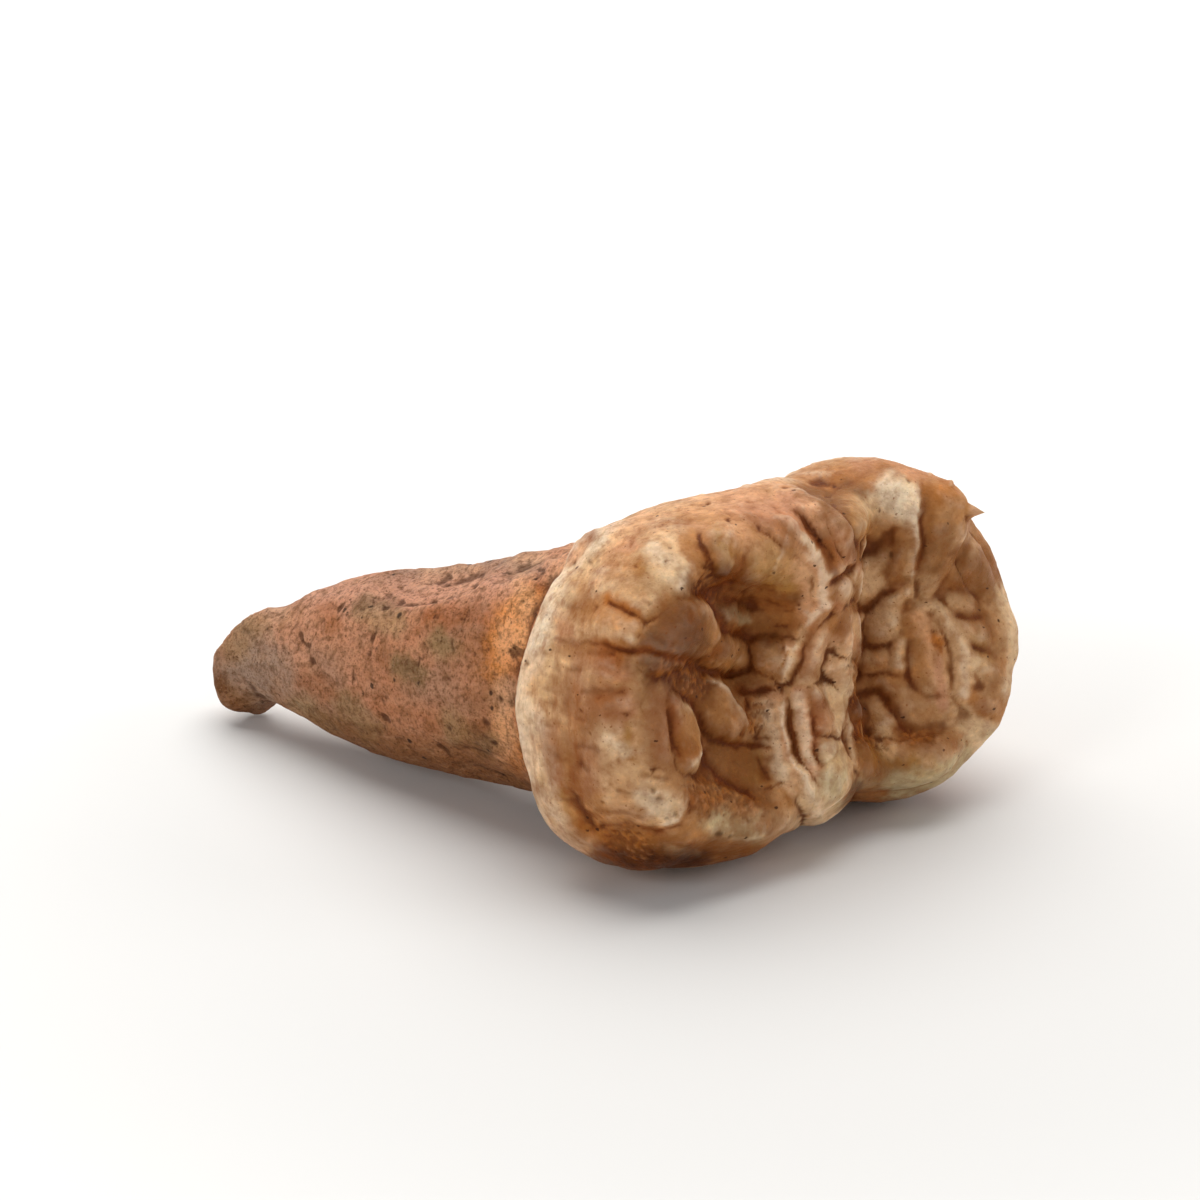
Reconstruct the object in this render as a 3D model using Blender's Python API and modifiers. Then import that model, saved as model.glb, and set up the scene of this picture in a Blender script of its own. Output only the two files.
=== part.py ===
"""Cave bear lower molar, lying on its side: one solid, a two-lobed crown on two roots.

Tooth frame, in millimetres: u runs from the front lobe to the back lobe, v across the crown,
w from the root tips to the chewing face, with w = 0 at the neck. The finished tooth is laid on
the bulges of its two lobes and the tip of its back root, chewing face towards -Y, and stands
with its lowest points at z = 0.
"""

import math

import bmesh
import bpy
import numpy as np
from mathutils import Matrix, Vector

MM = 0.001

# Driving dimensions, in millimetres
RIM_W = 8.1         # height of the chewing face's rim above the neck
FLOOR_W = 6.7       # height of its basins
BULGE_W = 3.6       # height of the crown's widest ring
NECK_INSET = 1.0    # of the neck, inside the widest ring
VOXEL = 0.36        # of the remesh that blends crown and roots
TRIANGLES = 8800    # of the finished solid
ROOT_DROP = 13.0    # degrees that the root tips drop below level as the tooth lies
REST_DEPTH = 0.05   # of the small worn flats that it rests on

# The crown's widest outline, seen on the chewing face, anticlockwise from the front end
OUTLINE = [
    (-14.9, -0.6), (-14.4, -4.8), (-12.0, -8.4), (-8.2, -9.5), (-3.9, -9.0), (-0.3, -7.9),
    (2.0, -7.0), (4.0, -7.5), (6.2, -7.9), (8.6, -6.9), (11.0, -4.7), (13.3, -1.2),
    (12.9, 3.4), (10.5, 7.1), (7.6, 9.5), (4.6, 9.5), (2.2, 8.4), (0.0, 8.6),
    (-3.8, 8.9), (-8.0, 8.3), (-11.5, 6.5), (-14.0, 3.2),
]

# Rings of the crown and trunk: height w, inset from the outline, shift along v
RINGS = [
    (FLOOR_W, 6.2, 0.0), (FLOOR_W + 0.4, 4.8, 0.0), (RIM_W - 0.5, 3.3, 0.0), (RIM_W, 2.0, 0.0),
    (RIM_W - 0.7, 1.0, 0.0), (5.8, 0.3, 0.0), (BULGE_W, 0.0, 0.0), (1.6, 0.25, 0.1),
    (0.2, NECK_INSET, 0.2), (-0.9, 1.6, 0.3), (-3.2, 2.2, 0.3), (-5.2, 3.0, 0.3), (-6.6, 4.4, 0.3), (-7.2, 5.8, 0.3),
]

# Root axes: height w, centre u and v, half-thickness along u, half-breadth along v
FRONT_ROOT = [
    (1.0, -7.6, 0.3, 5.2, 6.7), (-3.0, -7.9, 0.0, 5.2, 6.5), (-8.0, -8.4, -0.2, 4.8, 5.9),
    (-13.0, -9.0, -0.2, 4.2, 5.3), (-17.5, -9.6, -0.1, 3.5, 4.5), (-21.0, -10.1, 0.0, 2.8, 3.3),
    (-24.0, -10.5, -0.1, 2.1, 2.15), (-26.0, -10.8, -0.45, 1.6, 1.45),
]
FRONT_HOOK = [
    (-23.4, -10.3, -0.1, 1.7, 1.8), (-24.7, -10.4, -0.8, 1.7, 2.0), (-25.3, -10.4, -1.7, 1.5, 1.8),
    (-25.4, -10.3, -2.45, 1.1, 1.35),
]
BACK_ROOT = [
    (1.0, 7.4, 0.9, 5.2, 6.2), (-3.0, 7.8, 1.2, 5.2, 5.9), (-8.0, 8.5, 1.5, 4.7, 5.1),
    (-13.0, 9.4, 1.5, 4.0, 4.3), (-17.5, 10.3, 1.1, 3.3, 3.5), (-21.0, 11.1, 0.2, 2.6, 2.7),
    (-23.4, 11.8, -1.0, 1.8, 1.9),
]

# Raised cusps and crests of the chewing face: u, v, height, half-widths, turn in degrees
CUSPS = [
    (-11.0, 4.8, 0.6, 2.2, 2.0, 30), (-10.4, 2.4, 0.5, 1.8, 1.6, 0), (-10.6, -2.6, 0.4, 2.0, 2.2, 0),
    (-11.2, -5.6, 0.8, 2.3, 1.9, -35), (-6.4, 6.3, 0.5, 1.8, 1.5, 0), (-6.6, -6.9, 0.5, 1.9, 1.4, 0),
    (-2.6, 5.8, 0.6, 2.0, 1.9, -20), (-0.2, 6.6, 1.1, 1.7, 1.6, 0), (-2.0, -5.9, 1.0, 2.4, 1.9, 20),
    (-1.1, 4.2, 1.2, 1.1, 1.7, 0), (-1.7, 1.6, 1.5, 1.0, 1.7, 15), (-2.5, -1.0, 1.3, 0.9, 1.7, 0),
    (-2.2, -3.4, 1.0, 1.0, 1.6, -15), (0.5, 2.8, 1.2, 1.1, 2.6, 0), (0.5, -1.4, 1.3, 1.2, 2.9, 0),
    (-5.6, -1.8, 0.5, 1.0, 2.0, 35), (-7.6, -2.4, 0.4, 0.7, 1.7, 10),
    (6.8, 6.3, 0.8, 1.7, 1.6, 0), (10.4, 4.6, 0.7, 1.7, 1.8, 0), (11.6, 0.0, 0.5, 1.3, 2.0, 0),
    (10.0, -4.6, 0.7, 1.8, 1.7, 0), (6.4, -6.2, 0.9, 2.0, 1.5, 0), (8.0, -0.8, 0.7, 1.9, 3.0, 10),
]
# Valleys: u and v of both ends, depth, half-width
VALLEYS = [
    (-7.8, 0.0, -5.2, 0.4, 0.6, 1.3), (-5.2, 0.6, -4.2, 4.4, 0.8, 0.9), (-5.0, -0.4, -4.4, -4.8, 0.6, 0.8),
    (3.0, -5.0, 3.4, 7.2, 1.5, 1.1), (5.2, 2.6, 10.2, 2.2, 0.5, 0.7), (5.4, -3.6, 9.8, -3.2, 0.5, 0.7),
]


def clear():
    for obj in list(bpy.data.objects):
        bpy.data.objects.remove(obj, do_unlink=True)


def inset(ring, distance):
    """The ring moved inwards along its own normals, evened so that it doesn't fold at the waist."""
    tangent = np.roll(ring, -1, 0) - np.roll(ring, 1, 0)
    normal = np.stack([-tangent[:, 1], tangent[:, 0]], 1)
    normal /= np.linalg.norm(normal, axis=1)[:, None]
    moved = ring + normal * distance
    for _ in range(int(distance * 0.7)):
        moved = 0.6 * moved + 0.2 * (np.roll(moved, 1, 0) + np.roll(moved, -1, 0))
    return moved


def loft(name, rings, levels):
    """A closed cage through rings of equal count, rounded by a subdivision surface."""
    bm = bmesh.new()
    rows = [[bm.verts.new(p) for p in ring] for ring in rings]
    for a, b in zip(rows, rows[1:]):
        n = len(a)
        for i in range(n):
            bm.faces.new((a[i], a[(i + 1) % n], b[(i + 1) % n], b[i]))
    bm.faces.new(rows[0][::-1])
    bm.faces.new(rows[-1])
    bmesh.ops.recalc_face_normals(bm, faces=bm.faces)
    mesh = bpy.data.meshes.new(name)
    bm.to_mesh(mesh)
    bm.free()
    obj = bpy.data.objects.new(name, mesh)
    bpy.context.scene.collection.objects.link(obj)
    mod = obj.modifiers.new("round", "SUBSURF")
    mod.levels = mod.render_levels = levels
    return obj


def crown_block():
    outline = np.array(OUTLINE)
    return loft("crown", [[(x, y + shift, w) for x, y in inset(outline, gap)] for w, gap, shift in RINGS], 3)


def root(name, sections):
    """Oval sections square to the root's own curved axis, closed by a rounded tip."""
    s = np.array(sections, float)
    centre = s[:, [1, 2, 0]]
    tangent = np.gradient(centre, axis=0)
    tangent /= np.linalg.norm(tangent, axis=1)[:, None]
    rings = []
    for c, t, (half_u, half_v) in zip(centre, tangent, s[:, 3:]):
        t = Vector(t)
        across = (Vector((1, 0, 0)) - t * t.x).normalized()
        along = across.cross(t)
        rings.append([tuple(Vector(c) + across * half_u * math.cos(a) + along * half_v * math.sin(a))
                      for a in np.linspace(0, 2 * math.pi, 16, endpoint=False)])
    end, way, last = Vector(centre[-1]), Vector(tangent[-1]), rings[-1]
    for lift, size in ((0.7, 0.7), (0.95, 0.3)):
        rings.append([tuple(end + way * lift * s[-1, 3] + (Vector(p) - end) * size) for p in last])
    return loft(name, rings, 2)


def baked(name, obj, remove=()):
    """The object as its modifiers make it, in a new object; the sources go."""
    graph = bpy.context.evaluated_depsgraph_get()
    mesh = bpy.data.meshes.new_from_object(obj.evaluated_get(graph))
    made = bpy.data.objects.new(name, mesh)
    bpy.context.scene.collection.objects.link(made)
    for o in {obj, *remove}:
        bpy.data.objects.remove(o, do_unlink=True)
    return made


def joined(name, pieces):
    first = pieces[0]
    for other in pieces[1:]:
        mod = first.modifiers.new("join", "BOOLEAN")
        mod.operation, mod.object = "UNION", other
    return baked(name, first, pieces)


def coords(obj):
    co = np.empty(len(obj.data.vertices) * 3)
    obj.data.vertices.foreach_get("co", co)
    return co.reshape(-1, 3)


def set_coords(obj, co):
    obj.data.vertices.foreach_set("co", co.ravel())
    obj.data.update()


def relief(u, v):
    """Height added to the chewing face at (u, v)."""
    h = np.zeros_like(u)
    for cu, cv, height, su, sv, turn in CUSPS:
        a = math.radians(turn)
        x = (u - cu) * math.cos(a) + (v - cv) * math.sin(a)
        y = -(u - cu) * math.sin(a) + (v - cv) * math.cos(a)
        h += height * np.exp(-((x / su) ** 2 + (y / sv) ** 2))
    for u1, v1, u2, v2, depth, wide in VALLEYS:
        d = np.array([u2 - u1, v2 - v1])
        t = np.clip(((u - u1) * d[0] + (v - v1) * d[1]) / (d @ d), 0, 1)
        r2 = (u - u1 - t * d[0]) ** 2 + (v - v1 - t * d[1]) ** 2
        h -= depth * np.exp(-r2 / wide ** 2)
    return h


def carve_face(obj):
    co = coords(obj)
    u, v, w = co.T
    share = np.clip((w - BULGE_W) / (FLOOR_W - BULGE_W), 0, 1)
    co[:, 2] = w + relief(u, v) * share * share * (3 - 2 * share)
    set_coords(obj, co)


def lowest(co, where):
    return co[where][co[where][:, 2].argmin()]


def settled(co):
    """The points turned until three supports, front bulge, back bulge and front root tip, are level."""
    for _ in range(8):
        crown = co[:, 1] < 0
        a = lowest(co, crown & (co[:, 0] < 0))
        b = lowest(co, crown & (co[:, 0] > 0))
        c = lowest(co, (co[:, 1] > 12) & (co[:, 0] < 0))
        turn = Vector(np.cross(b - a, c - a)).rotation_difference(Vector((0, 0, 1))).to_matrix()
        co = co @ np.array(turn).T
    return co - [0, 0, lowest(co, co[:, 1] < 0)[2]]


def back_root_down(co):
    """The back root bent towards its end until its tip is level with the other supports."""
    back = (co[:, 0] > 2) & (co[:, 1] > 2)
    for _ in range(6):
        tip = lowest(co, back & (co[:, 1] > 12))
        bend = np.where(back, np.clip((co[:, 1] - 2) / (tip[1] - 2), 0, 1.2), 0) ** 2
        co = co - np.outer(bend * tip[2], (0, 0, 1))
    return co


def lay_down(obj):
    """Turned from the tooth frame in millimetres to the resting pose, still in millimetres."""
    lay = np.array(((1, 0, 0), (0, 0, -1), (0, 1, 0)))
    drop = np.array(Matrix.Rotation(math.radians(-ROOT_DROP), 3, "X"))
    co = coords(obj) @ (drop @ lay).T
    co = back_root_down(settled(co - co.mean(0)))
    low, high = co.min(0), co.max(0)
    co -= [(low[0] + high[0]) / 2, (low[1] + high[1]) / 2, REST_DEPTH]
    set_coords(obj, co)


def flatten_rests(obj):
    """The supports' lowest skin cut off level, which leaves a small flat under each."""
    bpy.ops.mesh.primitive_cube_add(size=1, location=(0, 0, -5), scale=(80, 80, 10))
    slab = bpy.context.active_object
    slab.name, slab.hide_render, slab.display_type = "rest_cutter", True, "WIRE"
    mod = obj.modifiers.new("rests", "BOOLEAN")
    mod.operation, mod.object = "DIFFERENCE", slab
    return baked("flattened", obj, [slab])


def paint(obj):
    mat = bpy.data.materials.new("fossil_enamel_and_root")
    mat.use_nodes = True
    shader = mat.node_tree.nodes["Principled BSDF"]
    shader.inputs["Base Color"].default_value = (0.52, 0.30, 0.16, 1)
    shader.inputs["Roughness"].default_value = 0.42
    shader.inputs["Metallic"].default_value = 0.0
    obj.data.materials.clear()
    obj.data.materials.append(mat)


def main():
    clear()
    body = joined("block", [crown_block(), root("front_root", FRONT_ROOT), root("front_hook", FRONT_HOOK),
                            root("back_root", BACK_ROOT)])
    mod = body.modifiers.new("blend", "REMESH")
    mod.mode, mod.voxel_size = "VOXEL", VOXEL
    mod = body.modifiers.new("soften", "SMOOTH")
    mod.factor, mod.iterations = 0.5, 5
    body = baked("blended", body)
    carve_face(body)
    mod = body.modifiers.new("fewer", "DECIMATE")
    mod.ratio = TRIANGLES / sum(len(f.vertices) - 2 for f in body.data.polygons)
    body = baked("reduced", body)
    lay_down(body)
    body = flatten_rests(body)
    tooth = baked("tooth", body)
    tooth.data.transform(Matrix.Scale(MM, 4))
    tooth.data.shade_smooth()
    paint(tooth)
    group = bpy.data.collections.new("cave_bear_tooth")
    bpy.context.scene.collection.children.link(group)
    group.objects.link(tooth)
    bpy.context.scene.collection.objects.unlink(tooth)


main()
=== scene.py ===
"""Looks of the fossil cave bear molar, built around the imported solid."""
import math

import bmesh
import bpy
import numpy as np
from mathutils import Matrix, Vector, noise
from mathutils.bvhtree import BVHTree


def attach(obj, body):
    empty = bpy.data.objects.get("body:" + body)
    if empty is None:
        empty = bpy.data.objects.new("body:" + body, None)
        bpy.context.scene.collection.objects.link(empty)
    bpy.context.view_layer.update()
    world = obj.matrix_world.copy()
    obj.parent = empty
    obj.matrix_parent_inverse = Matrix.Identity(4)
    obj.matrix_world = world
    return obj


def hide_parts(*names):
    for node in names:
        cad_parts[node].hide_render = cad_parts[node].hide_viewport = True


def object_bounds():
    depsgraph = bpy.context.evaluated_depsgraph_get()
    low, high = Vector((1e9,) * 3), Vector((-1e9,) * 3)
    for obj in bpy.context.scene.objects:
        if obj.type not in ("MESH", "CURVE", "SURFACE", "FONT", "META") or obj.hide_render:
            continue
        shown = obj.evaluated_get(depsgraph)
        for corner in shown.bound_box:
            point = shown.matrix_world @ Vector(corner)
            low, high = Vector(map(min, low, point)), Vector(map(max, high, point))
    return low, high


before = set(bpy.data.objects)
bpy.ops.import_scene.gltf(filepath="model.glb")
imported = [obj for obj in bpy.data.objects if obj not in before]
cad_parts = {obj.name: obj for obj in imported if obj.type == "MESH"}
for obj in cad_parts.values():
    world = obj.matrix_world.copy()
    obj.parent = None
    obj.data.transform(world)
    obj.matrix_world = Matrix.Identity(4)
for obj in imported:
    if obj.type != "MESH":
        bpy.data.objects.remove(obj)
cad_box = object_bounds()
MM = 0.001

# --- The viewing direction, and the tooth's own axes -------------------------------------------
AZIMUTH, ELEVATION, DISTANCE, PX_PER_MM = -40.0, 20.0, 375.0, 20.0
CENTRE, CENTRE_PX = np.array([0.0, 0.0, 9.0]), (614.0, 587.0)
DROP, LEAN = math.radians(12.315), math.radians(7.006)
ORIGIN = np.array([0.775, -8.370, 7.390])  # the neck's centre, where u = v = w = 0

pose = Matrix.Rotation(LEAN, 3, "Y") @ Matrix.Rotation(-DROP, 3, "X") @ Matrix(((1, 0, 0), (0, 0, -1), (0, 1, 0)))
AXES = np.array(pose)                      # columns u, v, w
a, e = math.radians(AZIMUTH), math.radians(ELEVATION)
BACK = np.array([math.sin(a) * math.cos(e), -math.cos(a) * math.cos(e), math.sin(e)])
EYE = CENTRE + BACK * DISTANCE
RIGHT = np.cross(-BACK, (0, 0, 1)); RIGHT /= np.linalg.norm(RIGHT)
UP = np.cross(RIGHT, -BACK)
FOCAL = PX_PER_MM * DISTANCE


def pixels(co):
    """Where points in millimetres fall in the 1200 by 1200 view."""
    d = co - EYE
    z = d @ -BACK
    return np.stack([CENTRE_PX[0] + FOCAL * (d @ RIGHT) / z, CENTRE_PX[1] - FOCAL * (d @ UP) / z], 1)


def tooth_axes(co):
    return (co - ORIGIN) @ AXES


# --- Mesh helpers ------------------------------------------------------------------------------
def link(obj):
    bpy.context.scene.collection.objects.link(obj)
    return obj


def applied(obj):
    mesh = bpy.data.meshes.new_from_object(obj.evaluated_get(bpy.context.evaluated_depsgraph_get()))
    old = obj.data
    obj.modifiers.clear()
    obj.data = mesh
    bpy.data.meshes.remove(old)
    return obj


def get_co(mesh):
    co = np.empty(len(mesh.vertices) * 3)
    mesh.vertices.foreach_get("co", co)
    return co.reshape(-1, 3)


def put_co(mesh, co):
    mesh.vertices.foreach_set("co", co.ravel())
    mesh.update()


def normals(mesh):
    n = np.empty(len(mesh.vertices) * 3)
    mesh.vertex_normals.foreach_get("vector", n)
    return n.reshape(-1, 3)


class Net:
    """The mesh's edges, for smoothing."""

    def __init__(self, mesh):
        ends = np.empty(len(mesh.edges) * 2, np.int64)
        mesh.edges.foreach_get("vertices", ends)
        self.a, self.b = ends.reshape(-1, 2).T
        self.n = len(mesh.vertices)
        self.count = np.bincount(np.concatenate([self.a, self.b]), minlength=self.n).astype(float)

    def mean(self, f):
        f2 = f.reshape(self.n, -1)
        out = np.stack([np.bincount(self.a, f2[self.b, k], self.n) + np.bincount(self.b, f2[self.a, k], self.n)
                        for k in range(f2.shape[1])], 1) / self.count[:, None]
        return out.reshape(f.shape)

    def smooth(self, f, times, share=0.6, where=None):
        for _ in range(times):
            m = self.mean(f)
            k = share if where is None else share * where.reshape((-1,) + (1,) * (f.ndim - 1))
            f = f + (m - f) * k
        return f


def step(x, lo, hi):
    t = np.clip((x - lo) / (hi - lo), 0, 1)
    return t * t * (3 - 2 * t)


# --- The skin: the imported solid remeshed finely, and finer still on the chewing face -----------
def make_skin():
    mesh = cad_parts["tooth"].data.copy()
    bm = bmesh.new()
    bm.from_mesh(mesh)
    bmesh.ops.scale(bm, vec=(1000, 1000, 1000), verts=bm.verts)
    bmesh.ops.remove_doubles(bm, verts=bm.verts, dist=0.002)
    bm.to_mesh(mesh)
    bm.free()
    skin = link(bpy.data.objects.new("tooth_skin", mesh))
    mod = skin.modifiers.new("remesh", "REMESH")
    mod.mode, mod.voxel_size = "VOXEL", 0.26
    applied(skin)
    mesh = skin.data
    net = Net(mesh)
    put_co(mesh, net.smooth(get_co(mesh), 10, 0.6))
    bm = bmesh.new()
    bm.from_mesh(mesh)
    bm.verts.ensure_lookup_table()
    co = get_co(mesh)
    w = tooth_axes(co)[:, 2]
    chew = [f for f in bm.faces if min(w[v.index] for v in f.verts) > 4.6]
    edges = {ed for f in chew for ed in f.edges}
    bmesh.ops.subdivide_edges(bm, edges=list(edges), cuts=1, use_grid_fill=True)
    bmesh.ops.triangulate(bm, faces=[f for f in bm.faces if len(f.verts) > 4])
    bm.to_mesh(mesh)
    bm.free()
    return skin


skin = make_skin()
mesh = skin.data
net = Net(mesh)
co = net.smooth(get_co(mesh), 3, 0.5)


def nudged(co, moves):
    """The skin drawn a little towards the outline in the view: place and shift in pixels, reach in millimetres."""
    where, depth = pixels(co), (co - EYE) @ -BACK
    push, weight = np.zeros_like(co), np.zeros(len(co))
    for x, y, dx, dy, reach in moves:
        off = np.hypot(where[:, 0] - x, where[:, 1] - y)
        anchor = co[np.argmin(np.maximum(off, 7) + 0.4 * (depth - depth.min()))]
        k = np.clip(1 - ((co - anchor) ** 2).sum(1) / reach ** 2, 0, 1) ** 2
        push += k[:, None] * (RIGHT * dx - UP * dy) / PX_PER_MM
        weight += k
    return co + push / np.maximum(1, weight)[:, None]


co = nudged(co, [
    # top of the crown
    (600, 534, -3, -8, 2.6), (570, 552, -6, -4, 2.4), (760, 487, 0, -5, 2.4), (780, 483, 0, -11, 2.2), (800, 476, 0, -12, 2.2),
    (820, 468, 0, -9, 2.4), (845, 462, 0, -6, 2.6), (875, 462, 0, -6, 2.6), (905, 468, 0, -5, 2.4), (940, 485, 4, -8, 2.2),
    (960, 504, 9, -9, 1.7), (994, 540, -14, 4, 2.4), (1000, 562, -17, 2, 2.6), (1007, 590, -9, 0, 2.4),
    # right end and underside of the back lobe
    (1000, 697, 9, 1, 2.0), (992, 715, 8, 1, 1.6), (974, 752, -9, -6, 2.2), (950, 782, -5, -11, 3.2), (923, 796, 0, -12, 3.4),
    (893, 800, 0, -9, 3.4), (865, 801, 0, -6, 3.0),
    # underside and left wall of the front lobe
    (824, 824, -7, -17, 4.2), (848, 792, -8, -4, 2.2), (740, 856, 0, -7, 2.3), (705, 864, 0, -9, 2.3), (650, 862, 0, 9, 2.3), (615, 857, -3, 11, 2.4),
    (580, 838, -8, 11, 2.4), (556, 812, -14, 10, 2.4), (545, 775, -15, 4, 2.4), (533, 735, -14, 0, 2.4), (527, 687, -12, 0, 2.4),
    (534, 640, -9, 0, 2.4), (547, 600, -7, -2, 2.4),
    # the front lobe's edge over the waist
    (838, 511, -5, 2, 1.5), (849, 529, -8, 3, 1.5), (860, 560, -11, 0, 1.8), (862, 600, -13, 0, 2.0), (863, 640, -13, 0, 2.0),
    (864, 680, -13, 0, 2.0), (864, 720, -12, 0, 2.0), (858, 760, -12, 0, 2.0),
    # root
    (405, 570, 0, 16, 3.0), (440, 565, 0, 24, 3.0), (465, 562, 0, 16, 3.0), (520, 552, 0, 12, 2.4), (548, 548, 0, 8, 1.8), (430, 766, 0, -6, 3.0), (470, 779, 0, -15, 3.0),
    (500, 785, 0, -10, 3.0), (234, 694, -16, 14, 1.9), (256, 622, -5, -12, 1.8), (238, 634, -8, -9, 1.6), (222, 662, -12, 2, 1.8), (305, 597, 0, -5, 2.4),
])
put_co(mesh, co)
base = co.copy()
base_n = normals(mesh)
uvw = tooth_axes(base)
px = pixels(base)
to_eye = EYE - base
to_eye /= np.linalg.norm(to_eye, axis=1)[:, None]

tree = BVHTree.FromPolygons([Vector(c) for c in base], [p.vertices for p in mesh.polygons])
facing = (base_n * to_eye).sum(1)
seen = np.zeros(len(base))
for i in np.nonzero((facing > 0.02) & (uvw[:, 2] > -30))[0]:
    hit = tree.ray_cast(Vector(base[i] + to_eye[i] * 0.12), Vector(to_eye[i]), 60)
    seen[i] = hit[0] is None
seen = net.smooth(seen, 2, 0.7)

# --- Sculpting in the view's pixels -------------------------------------------------------------
def field(points, scale, octaves=3, seed=0.0, stretch=(1, 1, 1)):
    s = np.array(stretch) / scale
    shift = Vector((seed, seed * 1.7, -seed))
    return np.array([noise.fractal(Vector(p) + shift, 0.9, 2.1, octaves) for p in points * s])


# outlines wander a little, so nothing is a perfect oval
wander = np.stack([field(uvw, 1.5, 2, 31.0), field(uvw, 1.5, 2, 57.0)], 1) * 3.4
wander += np.stack([field(uvw, 0.55, 2, 12.0), field(uvw, 0.55, 2, 83.0)], 1) * 1.5
spot = px + wander
shown = np.clip(seen * 1.3, 0, 1)
LIFT = base_n * 0.6 + to_eye * 0.4
LIFT /= np.linalg.norm(LIFT, axis=1)[:, None]


def near(points, reach):
    """Vertices near a polyline in the view, their distance to it in pixels, side, and place along it."""
    p = np.array(points, float)
    lo, hi = p.min(0) - reach, p.max(0) + reach
    ids = np.nonzero(((spot > lo) & (spot < hi)).all(1) & (seen > 0.02))[0]
    q = spot[ids]
    best = np.full(len(ids), 1e9)
    side = np.zeros(len(ids))
    along = np.full(len(ids), 0.5)
    if len(p) == 1:
        return ids, np.linalg.norm(q - p[0], axis=1), side, along
    lengths = np.linalg.norm(np.diff(p, axis=0), axis=1)
    start = np.concatenate([[0], np.cumsum(lengths)])
    for k in range(len(p) - 1):
        d = p[k + 1] - p[k]
        t = np.clip((q - p[k]) @ d / (d @ d), 0, 1)
        off = q - p[k] - t[:, None] * d
        dist = np.linalg.norm(off, axis=1)
        closer = dist < best
        best = np.where(closer, dist, best)
        side = np.where(closer, np.sign(d[0] * off[:, 1] - d[1] * off[:, 0]), side)
        along = np.where(closer, (start[k] + t * lengths[k]) / start[-1], along)
    return ids, best, side, along


domes = np.zeros(len(base))
lift = np.zeros(len(base))


def dome(points, r, height, taper=None, power=0.95):
    """A rounded cusplet: r pixels either side of the points, narrowing or widening to taper."""
    ids, d, _, t = near(points, max(r, taper or r) * 1.3)
    rr = (r if taper is None else r + (taper - r) * t) * 1.2
    h = height * np.clip(1 - (d / rr) ** 2, 0, 1) ** power
    domes[ids] = np.maximum(domes[ids], h * shown[ids])


def swell(points, r, height):
    """A broad rise, or with a negative height a broad hollow, with no edge."""
    ids, d, _, _ = near(points, r)
    lift[ids] += height * np.clip(1 - (d / r) ** 2, 0, 1) ** 2 * shown[ids]


def ridge(points, left, right, height, power=1.2):
    """A crest: its flanks fall off over so many pixels on each side of its course."""
    ids, d, side, t = near(points, max(left, right))
    wide = np.where(side > 0, right, left)
    ends = np.clip(np.minimum(t, 1 - t) * 5 + 0.15, 0, 1)
    lift[ids] += height * ends * np.clip(1 - d / wide, 0, 1) ** power * shown[ids]


def groove(points, half, depth):
    ids, d, _, t = near(points, half * 2.6)
    ends = np.clip(np.minimum(t, 1 - t) * 4 + 0.3, 0, 1)
    lift[ids] -= 0.5 * depth * ends * np.exp(-1.2 * (d / half) ** 2) * shown[ids]
    stain[ids] = np.maximum(stain[ids], ends * np.exp(-0.8 * (d / half) ** 2) * shown[ids] * min(1, depth * 3))


stain = np.zeros(len(base))

# Front lobe: cusplets of the front rim
swell([(640, 560), (620, 600), (612, 660), (612, 740), (630, 800)], 46, 0.16)
dome([(666, 552), (676, 570)], 30, 0.24, 25)
dome([(610, 590), (650, 598)], 20, 0.13, 22)
dome([(610, 622), (632, 631)], 15, 0.22, 12)
dome([(606, 671)], 15, 0.12)
dome([(606, 705), (624, 705)], 9, 0.08)
dome([(611, 730), (606, 760)], 19, 0.12, 22)
dome([(637, 724), (640, 764)], 13, 0.12)
dome([(657, 700), (660, 755)], 15, 0.14, 12)
dome([(660, 650), (688, 632)], 24, 0.40, 28)
dome([(700, 612), (708, 636)], 11, 0.34)
ridge([(688, 592), (704, 606), (715, 628), (709, 646)], 8, 22, 0.10)
dome([(722, 541), (723, 572)], 18, 0.30, 7)
dome([(733, 615), (744, 617)], 9, 0.10)
dome([(716, 652), (734, 656)], 17, 0.38, 15)
dome([(764, 653), (780, 658)], 15, 0.28)
dome([(700, 694), (716, 711), (728, 726)], 22, 0.40, 16)
ridge([(702, 679), (722, 693), (737, 710), (746, 726)], 5, 20, 0.26)
dome([(672, 704), (684, 730), (690, 762)], 11, 0.42, 13)
ridge([(677, 702), (691, 716), (698, 736), (698, 753), (690, 768)], 5, 14, 0.16)
dome([(612, 788), (640, 798), (664, 806)], 32, 0.22, 26)
dome([(738, 764), (765, 764)], 22, 0.22)
dome([(700, 800), (745, 812)], 16, 0.14)
ridge([(640, 848), (690, 838), (750, 836), (795, 822), (822, 800)], 14, 30, 0.20)
dome([(728, 760), (766, 766)], 19, 0.20)
dome([(716, 822), (748, 824)], 13, 0.12)
dome([(778, 800), (786, 818)], 13, 0.12)
# the great inner cusp, its bright crest, and the folds behind it
swell([(710, 588), (732, 598)], 32, -0.46)
swell([(775, 580), (785, 605)], 52, 0.24)
swell([(790, 645), (775, 670)], 26, 0.16)
swell([(690, 680), (700, 760)], 34, -0.16)
swell([(745, 765)], 46, -0.28)
ridge([(762, 520), (785, 527), (803, 539), (815, 553), (823, 575), (820, 600), (810, 619), (797, 638)], 12, 66, 0.60, 1.05)
ridge([(797, 638), (795, 655), (788, 668), (779, 683)], 9, 36, 0.42, 1.05)
ridge([(776, 690), (781, 706), (784, 732), (790, 757), (801, 779), (814, 800)], 7, 30, 0.44, 1.05)
dome([(829, 575), (827, 612), (814, 645), (803, 680)], 15, 0.22, 13)
dome([(838, 590), (833, 607)], 15, 0.40, 11)
dome([(842, 622), (846, 648)], 20, 0.44, 15)
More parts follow.
